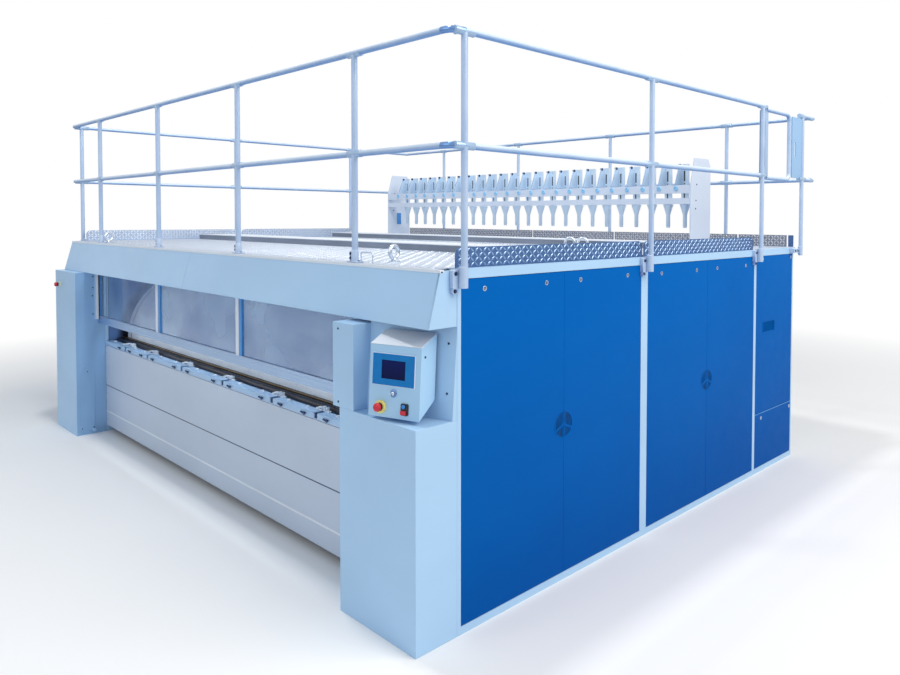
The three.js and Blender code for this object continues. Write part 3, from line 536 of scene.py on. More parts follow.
def plastic(name, colour, roughness=0.3, **shader):
    """Moulded plastic with faint tone and gloss changes."""
    finish = Finish(name, **shader)
    cloud = finish.noise(35, 4)
    finish.shades(finish.spread(cloud), colour, 0.93, 1.05)
    finish.roughness(cloud, roughness - 0.04, roughness + 0.06)
    finish.relief(finish.noise(900, 2), 0.00005)
    return finish


def screen_glass():
    """A dark display behind glossy glass, a little lighter towards its top."""
    finish = Finish("screen_glass", Roughness=0.25, Specular_IOR_Level=0.12)
    height = finish.spread(finish.coordinate("Z"), (1.24, 1.34))
    cloud = finish.spread(finish.noise(60, 2), (0.2, 0.8), (0.7, 1))
    finish.colour(finish.math("MULTIPLY", height, cloud), srgb((2, 14, 66)), srgb((8, 28, 94)))
    return finish


cabinet_paint = painted("cabinet_paint", (168, 204, 237))
panel_paint = painted("panel_paint", (188, 201, 220), 0.38)
edge_paint = painted("edge_paint", (222, 230, 241), 0.42)
console_paint = painted("console_paint", (166, 206, 238), 0.34, 0.03)
lid_paint = painted("lid_paint", (222, 230, 242), 0.34, 0.03)
rack_paint = painted("rack_paint", (210, 222, 240), 0.36, 0.03)
edge_blue_sheet = painted("edge_blue_sheet", (160, 192, 226), 0.36, 0.05)
sheet_blue = painted("sheet_blue", (142, 182, 222), 0.4, 0.06)
lever_zinc = painted("lever_zinc", (214, 232, 248), 0.32, 0.06, Metallic=0.25)
gusset_zinc = painted("gusset_zinc", (198, 222, 246), 0.32, 0.08, Metallic=0.25)
boss_zinc = painted("boss_zinc", (150, 204, 242), 0.3, 0.06, Metallic=0.2)
clamp_zinc = painted("clamp_zinc", (160, 188, 220), 0.32, 0.08, Metallic=0.3)
hood_mesh = painted("hood_mesh", (134, 144, 162), 0.5, 0.22, Metallic=0.3)
wall_paint = roll_side_wall()
door_paint = door_blue()
rail_zinc = rail_coating()
feed_steel = brushed("feed_steel", (188, 206, 230), (0.02, 1, 1))
guard_alloy = brushed("guard_alloy", (172, 196, 226), (0.02, 1, 1), 0.34, 0.05)
drive_steel = brushed("drive_steel", (150, 154, 160), roughness=0.36)
dark_steel = brushed("dark_steel", (58, 74, 108), roughness=0.36)
bright_steel = brushed("bright_steel", (208, 218, 230), (1, 1, 0.05), 0.2, 0.05)
elbow_steel = brushed("elbow_steel", (110, 146, 198), roughness=0.16)
brass = brushed("brass", (176, 140, 84), (0.05, 1, 1), 0.4, 0.15)
deck_zinc = galvanised("deck_zinc", (198, 209, 225), 260, 0.42, 0.25)
deck_mark = galvanised("deck_mark", (172, 184, 204), 200, 0.4, 0.4)
# Tread plates: the raised lozenges are painted paler than their plates, a painted highlight on top of their
# metal gloss; the rear board's colours are grey.
tread_base = galvanised("tread_base", (72, 106, 156), 160, 0.4, 0.5)
tread_top_highlight = galvanised("tread_top_highlight", (150, 178, 218), 160, 0.22, 0.85)
pale_base = galvanised("pale_base", (164, 182, 208), 160, 0.4, 0.4)
pale_top_highlight = galvanised("pale_top_highlight", (234, 241, 250), 160, 0.3, 0.5)
grey_base = galvanised("grey_base", (132, 140, 156), 160, 0.42, 0.5)
grey_top_highlight = galvanised("grey_top_highlight", (222, 222, 226), 160, 0.3, 0.6)
machine_iron = cast_iron()
chest_steel = heated_steel()
cloth = roll_cloth()
glass = pane_glass()
screen = screen_glass()
black_plastic = plastic("black_plastic", (22, 26, 36), 0.38)
red_plastic = plastic("red_plastic", (206, 34, 56), 0.28)
blue_plastic = plastic("blue_plastic", (40, 132, 214), 0.28)
yellow_plastic = plastic("yellow_plastic", (238, 226, 130), 0.4)
edge_blue = plastic("edge_blue", (70, 144, 212), 0.4)
bezel_blue = plastic("bezel_blue", (10, 120, 192), 0.36, Specular_IOR_Level=0.2)


# ------------------------------------------------------------------ CAD nodes that stay

KEPT_NODES = [                           # finish, rounding of the edges, starts of the nodes' names
    (cabinet_paint, 0.0018, ("side_frame_", "column_")),
    (door_paint, 0.0012, ("door_",)),
    (panel_paint, 0.0015, ("kick_panel", "apron_panel", "rear_panel", "rear_cover")),
    (feed_steel, 0.001, ("feed_table", "delivery_plate")),
    (machine_iron, 0.002, ("cross_beam_", "gear_motor", "chest_bridge")),
    (wall_paint, 0.002, ("bearing_wall_",)),
    (deck_zinc, 0.001, ("deck",)),
    (rack_paint, 0.0015, ("lever_rack",)),
    (black_plastic, 0.001, ("control_bracket",)),
]


def dress_kept_nodes():
    """Gives the CAD nodes that stay their finish and slightly rounded edges."""
    for finish, width, starts in KEPT_NODES:
        for name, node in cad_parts.items():
            if not name.startswith(starts):
                continue
            for place in node.material_slots:
                place.material = finish.material
            joined = node.modifiers.new("join", "WELD")
            joined.merge_threshold = 0.00005
            soften(node, width)


# ------------------------------------------------------------------ cabinet doors

def door_piece(side, leaf, part, solid, finish, bevel=0.0):
    """A piece that belongs to one door leaf and moves with it."""
    door = f"door_{'left' if side < 0 else 'right'}_{leaf}"
    piece(f"{door}_{part}", solid, finish, door, bevel=bevel)


def door_locks(side, leaf):
    """Quarter-turn locks: a bright rim, a dark core and the bar that the key turns."""
    rims, cores = Solid(), Solid()
    *places, z = LOCKS[leaf]
    for y in places:
        rims.ring("x", on_side(side, 0, 0.0025), (y, z), (0.0075, 0.0130), 28)
        rims.block(on_side(side, 0, 0.002), (y - 0.0055, y + 0.0055), (z - 0.0013, z + 0.0013))
        cores.rod("x", on_side(side, -0.001, 0.0006), (y, z), 0.0078)
    door_piece(side, leaf, "locks", rims, bright_steel, 0.0004)
    door_piece(side, leaf, "lock_cores", cores, dark_steel)


def half_fan_grille(side, leaf, seam, half):
    """Half of a round grille on the seam of two leaves: bent bars with a slanted spoke, and a black backing
    behind them that is painted shade for the dark inside of the door.
    """
    gap, reach, z = 0.0016, 0.069, ROUND_VENT_Z
    middle = (seam + half * gap, z)
    turn = 0 if half > 0 else math.pi
    angles = (turn - math.pi / 2, turn + math.pi / 2)
    solid = Solid()
    for radii in ((0.022, 0.027), (0.033, 0.038), (0.044, 0.049), (0.055, 0.060), (0.066, 0.0755)):
        solid.arc_bar("x", middle, radii, angles, on_side(side, -0.002, 0.0012), 20)
    solid.prism("x", arc(middle, 0.017, 12, *angles), on_side(side, -0.0018, 0.0018))
    solid.block(on_side(side, -0.0016, 0.0014), (middle[0], middle[0] + half * 0.007),
                (z - reach, z + reach))
    slant = math.radians(-24) * half
    across = Vector((-math.sin(slant), math.cos(slant))) * 0.006
    near = Vector(middle)
    far = near + Vector((half * math.cos(slant), half * math.sin(slant))) * reach
    spoke = [near - across, far - across, far + across, near + across]
    solid.prism("x", spoke, on_side(side, -0.0017, 0.0016))
    door_piece(side, leaf, "grille", solid, door_paint, 0.0004)
    # Painted shade: a black backing behind the grille's slots.
    back = Solid().prism("x", arc(middle, 0.0705, 20, *angles), on_side(side, -0.0075, -0.006))
    door_piece(side, leaf, "fan_shade_backing", back, black_plastic)


def seam_lip(side, leaf, seam):
    """A narrow lip on one leaf that closes the gap to its neighbour."""
    low, high = span(f"door_right_{leaf}")
    lip = Solid().block(on_side(side, -0.0035, -0.0012), (seam - 0.0011, seam + 0.0018), (low.z, high.z))
    door_piece(side, leaf, "lip", lip, door_paint)


def rear_louvre(side):
    """Pressed slats in the rear bay's upper door, and a black backing behind them that is painted shade."""
    (y0, y1), (z0, z1) = LOUVRE["y"], LOUVRE["z"]
    rim = on_side(side, -0.001, 0.0015)
    solid = Solid()
    solid.block(rim, (y0 - 0.006, y1 + 0.006), (z1 - 0.001, z1 + 0.005))
    solid.block(rim, (y0 - 0.006, y1 + 0.006), (z0 - 0.005, z0 + 0.001))
    solid.block(rim, (y0 - 0.006, y0 + 0.001), (z0, z1))
    solid.block(rim, (y1 - 0.001, y1 + 0.006), (z0, z1))
    slats = 7
    pitch = (z1 - z0) / slats
    slat = [(0.001, 0), (-0.009, 0.8), (-0.010, 0.75), (-0.0003, -0.05)]
    for i in range(slats):
        outline = [(side * (CABINET_X + out), z0 + (i + up) * pitch) for out, up in slat]
        solid.prism("y", outline, (y0, y1))
    door_piece(side, 5, "louvre", solid, door_paint)
    # Painted shade: a black backing behind the slats.
    back = Solid().block(on_side(side, -0.0155, -0.014), (y0, y1), (z0, z1))
    door_piece(side, 5, "louvre_shade_backing", back, black_plastic)


def doors():
    for _, side in SIDES:
        for leaf in LOCKS:
            door_locks(side, leaf)
        for first in (1, 3):
            seam = (span(f"door_right_{first}")[1].y + span(f"door_right_{first + 1}")[0].y) / 2
            half_fan_grille(side, first, seam, -1)
            half_fan_grille(side, first + 1, seam, 1)
            seam_lip(side, first + 1, seam)
        rear_louvre(side)
        low, high = span("door_right_6")
        rim_z = (high.z - 0.005, high.z + 0.0004)
        rim = Solid().block(on_side(side, -0.0012, 0.0008), (low.y, high.y), rim_z)
        door_piece(side, 6, "rim", rim, edge_blue)


# ------------------------------------------------------------------ front

def column_details():
    """Access plate and screws on the left column, two screws on the right column's front, the guides' seals
    and strips on both, and a bluer sheet of painted shade over the left column's inner face.
    """
    face = -2.1946
    low, high, near, far = 0.03, 0.60, -0.213, -0.095
    middle, radius = ((near + far) / 2, high - 0.03), (far - near) / 2
    arch = [(near, low), (far, low), *arc(middle, radius, 14, 0, math.pi)]
    plate = Solid().prism("x", arch, (face - 0.001, face + 0.003))
    piece("column_access_plate", plate, sheet_blue, bevel=0.0012)
    screws = Solid()
    for y, z in ((-0.100, 1.450), (-0.100, 1.349), (-0.104, 1.274), (-0.102, 1.105)):
        screws.button_head("x", face, 1, (y, z), 0.006, 0.004)
    for y, z in ((-0.154, 0.58), (-0.20, 0.06), (-0.108, 0.06)):
        screws.button_head("x", face + 0.003, 1, (y, z), 0.005, 0.003)
    for z in (1.443, 1.071):
        screws.button_head("y", COLUMN_FRONT_Y, -1, (2.155, z), 0.006, 0.004)
    piece("column_screws", screws, dark_steel)
    seals, strips = Solid(), Solid()
    for tip, way, top in ((-2.15, -1, 1.486), (2.06, 1, 1.471)):
        for y in ((-0.0678, -0.0626), (-0.0306, -0.0258), (-0.0042, -0.0005)):
            seals.block((tip + way * 0.008, tip - way * 0.0006), y, (1.062, top))
        strips.block((tip, tip - way * 0.0005), (-0.0895, -0.0690), (1.062, top))
    piece("guide_seals", seals, black_plastic)
    piece("guide_strips", strips, edge_paint)
    # Painted shade: a thin bluer sheet over the left column's inner face, which the fascia shades.
    shade_skin = (face - 0.0008, face)
    sheet = Solid().block(shade_skin, (COLUMN_FRONT_Y + 0.004, -0.0905), (0.004, 1.486))
    sheet.block(shade_skin, (-0.0907, -0.002), (0.004, 1.056))
    piece("column_left_shade_sheet", sheet, sheet_blue)


def emergency_stop(name, place, body):
    """A yellow disc with a black ring, and a dished mushroom head with marks sunk in it."""
    disc, ring, head = (Solid(place) for _ in range(3))
    disc.turned("y", (0, 0), [(0.0, 0.031), (-0.009, 0.031), (-0.011, 0.029), (-0.011, 0.015)], 40)
    piece(f"{name}_collar", disc, yellow_plastic)
    ring.turned("y", (0, 0), [(-0.0105, 0.0195), (-0.0165, 0.0185), (-0.018, 0.0150)], 32)
    piece(f"{name}_ring", ring, black_plastic)
    head.turned("y", (0, 0), [
        (0.002, 0.0095), (-0.0185, 0.0095), (-0.020, 0.0160), (-0.0225, 0.0194), (-0.0265, 0.0208),
        (-0.031, 0.0208), (-0.035, 0.0198), (-0.0385, 0.0168), (-0.0408, 0.0124), (-0.0415, 0.0080),
        (-0.0405, 0.0065), (-0.0400, 0.0030),
    ], 40)
    for mark in circle((0, 0), 0.0128, 3):
        head.rod("y", (-0.0408, -0.0385), mark, 0.0016, 10)
    piece(f"{name}_head", head, red_plastic, body, (body,), smooth=50)


def fascia():
    """The sloping cover in two lengths with a seam between them, and its end plates."""
    low, high = span("fascia")
    top_y, bottom_y, sheet = -0.100, -0.170, 0.018
    cover = [(top_y, high.z), (bottom_y, low.z), (bottom_y + sheet, low.z), (top_y + sheet, high.z)]
    end_plate = [*cover[:2], (-0.001, low.z), (-0.001, high.z)]
    for name, side in SIDES:
        solid = Solid().prism("x", cover, both(side, 0.0012, high.x))
        replaced = ("fascia",) if side < 0 else ()
        piece(f"fascia_{name}", solid, cabinet_paint, "frame", replaced, 0.003)
        solid = Solid().prism("x", end_plate, on_side(side, -0.0155, -0.0004))
        piece(f"fascia_end_{name}", solid, cabinet_paint, bevel=0.002)
    lip = Solid().block((low.x, high.x), (top_y - 0.004, top_y + 0.02), (high.z - 0.010, high.z + 0.0045))
    piece("fascia_lip", lip, edge_paint, bevel=0.0015)


def front_panel_details():
    """Bolts along the ends of the apron and kick panels, and the crease in the lower one, painted pale as a
    highlight along its fold.
    """
    bolts = Solid()
    for x in (-2.165, 2.135):
        for z in (0.50, 0.62, 0.74, 0.12, 0.36):
            bolts.button_head("y", 0, -1, (x, z), 0.006, 0.004)
    piece("front_panel_bolts", bolts, bright_steel)
    ends = (-2.19, 2.16)
    fold = [(0.0005, 0.184), (-0.0030, 0.189), (-0.0030, 0.195), (0.0005, 0.199)]
    # The crease's pale paint is a painted highlight on the fold.
    piece("kick_panel_crease_highlight", Solid().prism("x", fold, ends), edge_paint)
    joint = Solid().block(ends, (-0.0006, 0.004), (0.4316, 0.4384))
    piece("panel_joint", joint, dark_steel)


def feed_table_details():
    """Folded front lips, wing bolts, clamps and slotted rails along the feed table."""
    left, right = (corner.x for corner in span("feed_table"))
    top, step = FEED_TOP, FEED_TOP + 0.014
    edges = [left, *FEED_NOTCHES_X, right]
    lips, knobs, clamps, rails, studs = (Solid() for _ in range(5))
    for start, end in zip(edges, edges[1:]):
        x0, x1 = start + 0.02, end - 0.02
        lips.block((x0, x1), (-0.004, 0.001), (top - 0.032, top + 0.001))
        lips.block((x0, x1), (-0.004, 0.062), (top - 0.0005, top + 0.0025))
        for share in (0.25, 0.72):
            place = (x0 + share * (x1 - x0), 0.040)
            studs.turned("z", place, [(top, 0.012), (top + 0.010, 0.012), (top + 0.013, 0.007)], 16)
    ridge = [
        (0.063, top - 0.0005), (0.0925, top - 0.0005), (0.0995, step - 0.0005), (0.139, step - 0.0005),
        (0.139, step + 0.0025), (0.097, step + 0.0025), (0.090, top + 0.002), (0.063, top + 0.002),
    ]
    strips = Solid().prism("x", ridge, (left, right))
    for y, z in ((0.072, top + 0.002), (0.084, top + 0.002), (0.112, step + 0.0025)):
        rails.block((left, right), (y - 0.0022, y + 0.0022), (z - 0.0005, z + 0.004))
    for x in FEED_NOTCHES_X:
        toggle_clamp(clamps, x, top + 0.0025)
        for bolt_x in (x - 0.127, x + 0.127):
            knobs.turned("y", (bolt_x, top - 0.020), [(0, 0.010), (-0.010, 0.010), (-0.012, 0.007)], 20)
            for ear in (-1, 1):
                root = (bolt_x + ear * 0.005, -0.008, top - 0.020)
                tip = (bolt_x + ear * 0.026, -0.014, top - 0.012)
                knobs.tube([root, tip], 0.0055, sides=10)
    piece("feed_table_lips", lips, edge_blue_sheet, bevel=0.0008)
    piece("feed_table_wing_bolts", knobs, dark_steel, bevel=0.0005)
    piece("feed_table_clamps", clamps, edge_paint, bevel=0.0006)
    piece("feed_table_strips", strips, black_plastic)
    piece("feed_table_rails", rails, dark_steel)
    piece("feed_table_studs", studs, edge_paint)


def toggle_clamp(solid, x, z):
    """A toggle clamp that bridges a notch: base, two cheeks, their pin and a lever laid forward."""
    solid.block((x - 0.052, x + 0.052), (0.052, 0.074), (z - 0.0005, z + 0.004))
    for cheek in (-0.020, 0.014):
        solid.block((x + cheek, x + cheek + 0.006), (0.044, 0.078), (z + 0.002, z + 0.026))
    solid.rod("x", (x - 0.024, x + 0.024), (0.060, z + 0.018), 0.005, 12)
    solid.tube([(x, 0.060, z + 0.020), (x, 0.030, z + 0.030), (x, 0.004, z + 0.026)], 0.007, 0.010, 12)


def guard_piece(name, solid, finish, replaces=(), bevel=0.0):
    piece(f"guard_{name}", solid, finish, "guard", replaces, bevel)


def guard():
    """The lifting guard: a grooved bottom rail, two bars and three panes between them."""
    low, high = span("guard_rail")
    y0, y1, z0, z1 = low.y, high.y, low.z, high.z
    outline = [(y0, z0), (y1, z0), (y1, z1), (y0, z1)]
    outline += [(y0, z1 - 0.012), (y0 + 0.003, z1 - 0.014), (y0 + 0.003, z1 - 0.020), (y0, z1 - 0.022)]
    outline += [(y0, z0 + 0.022), (y0 + 0.003, z0 + 0.020), (y0 + 0.003, z0 + 0.014), (y0, z0 + 0.012)]
    rail = Solid().prism("x", outline, (low.x, high.x))
    guard_piece("rail_profile", rail, guard_alloy, ("guard_rail",), 0.0008)
    upright = (z1 + 0.0004, span("guard_glass")[1].z)
    edges = [low.x, *(x for bar in GLASS_BARS_X for x in bar), high.x]
    panes, bars, strips = Solid(), Solid(), Solid()
    for x0, x1 in zip(edges[::2], edges[1::2]):
        panes.block((x0 + 0.002, x1 - 0.002), (-0.050, -0.044), upright)
    guard_piece("panes", panes, glass, ("guard_glass",), 0.0006)
    for x0, x1 in GLASS_BARS_X:
        bars.block((x0, x0 + 0.044), (-0.062, -0.036), upright)
        strips.block((x0 + 0.044, x1), (-0.058, -0.040), upright)
    for x0, x1 in ((low.x, low.x + 0.030), (high.x - 0.030, high.x)):
        strips.block((x0, x1), (-0.058, -0.036), upright)
    guard_piece("bars", bars, edge_paint, bevel=0.0012)
    guard_piece("bar_strips", strips, edge_blue, bevel=0.0012)
    crest = Solid().block((low.x, high.x), (y0 + 0.0002, y0 + 0.006), (z1 - 0.004, z1 + 0.0003))
    guard_piece("rail_crest", crest, edge_paint, bevel=0.0005)
    inside = (low.x + 0.004, high.x - 0.004)
    seal = Solid().block(inside, (y0 + 0.006, y1 - 0.006), (z0 - 0.0001, z0 + 0.004))
    guard_piece("seal", seal, black_plastic)


# ------------------------------------------------------------------ rolls, chests and drive

def roll(node):
    """A padded drum with steel ends, journals and a toothed sprocket."""
    centre = axle(node)
    half, radius, step = ROLL_HALF, ROLL_RADIUS, 0.004
    edge = [(half - 0.016, radius), (half - 0.010, radius - 0.002), (half - 0.006, radius - 0.006),
            (half - 0.006, radius - 0.016)]
    padding = Solid().turned("x", centre, mirror_ends(edge), 120, closed=True)
    piece(f"{node}_padding", padding, cloth, node, (node,))
    journal, bore, tip = 0.065, 0.030, JOURNAL_END
    end = [
        (half, radius - 0.016), (half, 0.585), (half - step, 0.58), (half - step, 0.105), (half, 0.10),
        (half, journal), (tip - 0.004, journal), (tip, journal - 0.003), (tip, bore),
        (half - 0.02, bore), (half - 0.02, radius - 0.02),
    ]
    drum = Solid().turned("x", centre, mirror_ends(end), 96, closed=True)
    for at in circle(centre, BOLT_CIRCLE, 12):
        drum.hex_bolt("x", step - half, -1, at, 0.010)
        drum.hex_bolt("x", half - step, 1, at, 0.010)
    piece(f"{node}_drum", drum, drive_steel, node)
    piece(f"{node}_sprocket", sprocket(node, 46, 0.0655), drive_steel, node)


def mirror_ends(profile):
    """A profile of a body's right end, preceded by its mirror image."""
    return [(-along, radius) for along, radius in reversed(profile)] + profile


def sprocket(node, teeth, bore):
    """A toothed wheel with a hub, on a turning node's axle."""
    centre, radius = axle(node), SPROCKETS[node]
    low, high = CHAIN_X - 0.009, CHAIN_X + 0.009
    tooth = ((0.0, 0.984), (0.30, 0.984), (0.45, 1.0), (0.85, 1.0))
    rim = [((i + share) * 2 * math.pi / teeth, reach) for i in range(teeth) for share, reach in tooth]
    outer = [polar(centre, radius * reach, turn) for turn, reach in rim]
    inner = [polar(centre, bore, turn) for turn, _ in rim]
    ends = ((inner, low), (outer, low), (outer, high), (inner, high))
    solid = Solid().loft([[lift("x", a, b, end) for a, b in points] for points, end in ends], closed=True)
    return solid.ring("x", (low - 0.006, high + 0.006), centre, (bore, bore + 0.022), 40)


def chest(node):
    """The heated trough round the lower half of a roll."""
    low, high = span(node)
    outer = (high.y - low.y) / 2
    trough = Solid().arc_bar("x", (low.y + outer, high.z), (outer - 0.027, outer),
                             (math.pi, 2 * math.pi), (low.x, high.x), 72)
    piece(f"{node}_trough", trough, chest_steel, "frame", (node,), 0.001)
    lip = Solid().block((low.x, high.x), (low.y - 0.0005, low.y + 0.007), (high.z - 0.003, high.z + 0.0006))
    piece(f"{node}_lip", lip, brass, bevel=0.0005)


def motor_wheel():
    node = "motor_sprocket"
    low, high = span(node)
    wheel = sprocket(node, 19, 0.0254)
    wheel.ring("x", (low.x, high.x), axle(node), (0.008, 0.0252), 32)
    piece(f"{node}_wheel", wheel, drive_steel, node, (node,))


def chain_path():
    """Points round the three sprockets, as the hull of points on their rims."""
    points = sorted(
        point for node, radius in SPROCKETS.items() for point in circle(axle(node), radius + 0.010, 96)
    )

    def turn(o, p, q):
        return (p[0] - o[0]) * (q[1] - o[1]) - (p[1] - o[1]) * (q[0] - o[0])

    def half_hull(ordered):
        hull = []
        for point in ordered:
            while len(hull) > 1 and turn(hull[-2], hull[-1], point) <= 0:
                hull.pop()
            hull.append(point)
        return hull[:-1]

    return [Vector(point) for point in half_hull(points) + half_hull(points[::-1])]


def drive_chain():
    """A roller chain: rollers at an even pitch and link plates between them."""
    path = chain_path()
    stretches = [(a, b, (b - a).length) for a, b in zip(path, path[1:] + path[:1])]
    total = sum(length for _, _, length in stretches)
    count = 2 * round(total / (2 * CHAIN_PITCH))
    pins = []
    for i in range(count):
        left = i * total / count
        for a, b, length in stretches:
            if left <= length:
                pins.append(a.lerp(b, left / length))
                break
            left -= length
    links = Solid()
    for i, (a, b) in enumerate(zip(pins, pins[1:] + pins[:1])):
        along = (b - a).normalized()
        across = Vector((-along.y, along.x)) * 0.0055
        for side in (-1, 1):
            near = CHAIN_X + side * (0.0075 if i % 2 else 0.0055)
            plate = [a - across, b - across, b + across, a + across]
            links.prism("x", plate, (near - 0.0009, near + 0.0009))
        links.rod("x", (CHAIN_X - 0.0088, CHAIN_X + 0.0088), a, 0.0045, 10)
    piece("drive_chain_links", links, drive_steel, replaces=("drive_chain",))


# ------------------------------------------------------------------ deck

def deck_treads():
    """Raised lozenges all over the deck, except under the hoods."""
    low, high = span("deck")
    hoods = [span(f"vent_hood_{place}") for place in ("front", "rear")]

    def covered(point):
        return any(a.y - 0.02 < point.y < b.y + 0.02 and a.x < point.x < b.x for a, b in hoods)

    margin = 0.012
    width, depth = high.x - low.x - 2 * margin, high.y - low.y - 2 * margin
    solid = Solid().lozenges((low.x + margin, low.y + margin, DECK_Z), (width, 0, 0), (0, depth, 0),
                             (0.036, 0.011), (0.045, 0.045), 0.0018, covered)
    piece("deck_tread", solid, deck_mark)


def vent_hood(node):
    """A low hood with a plain top, fine upright slats along both faces, and black plates of painted shade
    just inside the slats.
    """
    low, high = span(node)
    top, ribs, dark_backing = Solid(), Solid(), Solid()
    top.block((low.x, high.x), (low.y, high.y), (high.z - 0.007, high.z))
    top.block((low.x, high.x), (low.y + 0.010, high.y - 0.010), (high.z - 0.012, high.z - 0.006))
    for x in (low.x, high.x - 0.004):
        top.block((x, x + 0.004), (low.y + 0.001, high.y - 0.001), (low.z, high.z - 0.006))
    piece(f"{node}_top", top, edge_paint, "frame", (node,), 0.0012)
    count = int((high.x - low.x) / 0.025)
    slat = [(-0.010, 0), (0.007, 0.006), (0.007, 0.008), (-0.010, 0.002)]
    for i in range(count):
        x = low.x + (i + 0.5) * (high.x - low.x) / count
        for y, inward in ((low.y + 0.002, 1), (high.y - 0.002, -1)):
            outline = [(x + a, y + inward * b) for a, b in slat]
            ribs.prism("z", outline, (low.z + 0.004, high.z - 0.007))
    inside = (low.x + 0.004, high.x - 0.004)
    for y in (low.y + 0.001, high.y - 0.004):
        ribs.block(inside, (y, y + 0.003), (low.z, low.z + 0.006))
    piece(f"{node}_ribs", ribs, hood_mesh)
    # Painted shade: black plates inside the slats, for the hood's dark inside.
    for y in (low.y + 0.014, high.y - 0.016):
        dark_backing.block(inside, (y, y + 0.002), (low.z, high.z - 0.007))
    piece(f"{node}_hood_shade_plates", dark_backing, black_plastic)


def toe_boards():
    """Tread-plate boards along three sides of the deck, with their raised lozenges painted paler as
    highlight.
    """
    height = (ON_DECK, DECK_Z + 0.1)
    rows = 4.02 * TOE_PITCH[1]
    foot = height[0] + (height[1] - height[0] - rows) / 2
    inset, corner, half_gap = 0.012, 0.04, 0.007

    def tread(solid, x, y, along):
        solid.lozenges((x, y, foot), (*along, 0), (0, 0, rows), TOE_LOZENGE, TOE_PITCH, 0.0016)

    for name, base, top in (("left", pale_base, pale_top_highlight), ("right", tread_base, tread_top_highlight)):
        node = f"toe_board_{name}"
        low, high = span(node)
        plate, treads = Solid(), Solid()
        for start, end in ((low.y, 1.540), (1.560, high.y)):
            shoulder = height[1] - corner
            outline = [
                (start, height[0]), (end, height[0]),
                *arc((end - corner, shoulder), corner, 6, 0, math.pi / 2)[:-1],
                *arc((start + corner, shoulder), corner, 6, math.pi / 2, math.pi),
            ]
            plate.prism("x", outline, (low.x, high.x))
            length = end - start - 2 * inset
            tread(treads, high.x, start + inset, (0, length))
            tread(treads, low.x, end - inset, (0, -length))
        plate.block((low.x, high.x), (1.539, 1.561), (height[0], height[0] + 0.012))
        piece(f"{node}_plate", plate, base, "frame", (node,), 0.0008)
        piece(f"{node}_treads", treads, top)
    low, high = span("toe_board_rear")
    seams = [low.x, -0.40, 0.772, 2.188, 2.661]
    plate, treads = Solid(), Solid()
    for start, end in zip(seams, seams[1:]):
        x0, x1 = start + half_gap, end - half_gap
        plate.block((x0, x1), (low.y, high.y), height)
        length = x1 - x0 - 2 * inset
        tread(treads, x0 + inset, low.y, (length, 0))
        tread(treads, x1 - inset, high.y, (-length, 0))
    piece("toe_board_rear_plate", plate, grey_base, "frame", ("toe_board_rear",), 0.0008)
    piece("toe_board_rear_treads", treads, grey_top_highlight)
    end_plate = Solid().block((seams[-1] + half_gap, high.x), (low.y, high.y), height)
    piece("toe_board_rear_end", end_plate, tread_base, bevel=0.0008)


def deck_fittings():
    """Lifting eyes and the wire grip of a hatch."""
    eyes, wire = Solid(), 0.0105
    stem = [(0, 0.034), (0.006, 0.034), (0.009, 0.028), (0.012, 0.017), (0.020, 0.014)]
    for x, y, turn, reach in (
        (2.152, 0.099, 105, 0.034),
        (-2.034, -0.011, 105, 0.034),
        (1.831, 1.93, 42, 0.036),
        (1.956, 1.93, 42, 0.036),
    ):
        eyes.place = Matrix.Translation((x, y, DECK_Z)) @ Matrix.Rotation(math.radians(turn), 4, "Z")
        eyes.turned("z", (0, 0), stem)
        section = [(along, reach + out) for out, along in circle((0, 0), wire, 14)]
        eyes.turned("y", (0, 0.020 + reach), section, 40, closed=True)
    piece("lifting_eyes", eyes, bright_steel, smooth=60)
    x0, x1, y, top = 2.045, 2.150, -0.035, DECK_Z + 0.055
    path = [(x0, y, DECK_Z), (x0, y, top), (x1, y, top), (x1, y, DECK_Z)]
    piece("hatch_grip", Solid().tube(path, 0.0035, 0.014, 12), bright_steel)


# ------------------------------------------------------------------ guardrails

def sleeve(solid, axis, centre, length, inward=(0, 0), radius=SLEEVE, shift=SLEEVE_SHIFT):
    """A clamp sleeve on a tube, moved a little inward."""
    along = centre["xyz".index(axis)]
    across = [place for name, place in zip("xyz", centre) if name != axis]
    moved = [place + way * shift for place, way in zip(across, inward)]
    half = length / 2
    profile = [
        (along - half, radius - 0.0012), (along - half + 0.002, radius),
        (along + half - 0.002, radius), (along + half, radius - 0.0012),
    ]
    solid.turned(axis, moved, profile)


def cross_fitting(clamps, screws, x, y, z, axis, inward):
    """The fitting where a post meets a rail: a sleeve on the rail, held by two screws."""
    down = -1 if z == RAIL_Z[1] else 0
    sleeve(clamps, axis, (x, y, z), 0.12, (inward, down))
    face_axis, along, across = ("y", x, y) if axis == "x" else ("x", y, x)
    surface = across + inward * (SLEEVE - 0.0005)
    for way in (-0.040, 0.040):
        screws.button_head(face_axis, surface, inward, (along + way, z), 0.005, 0.003)


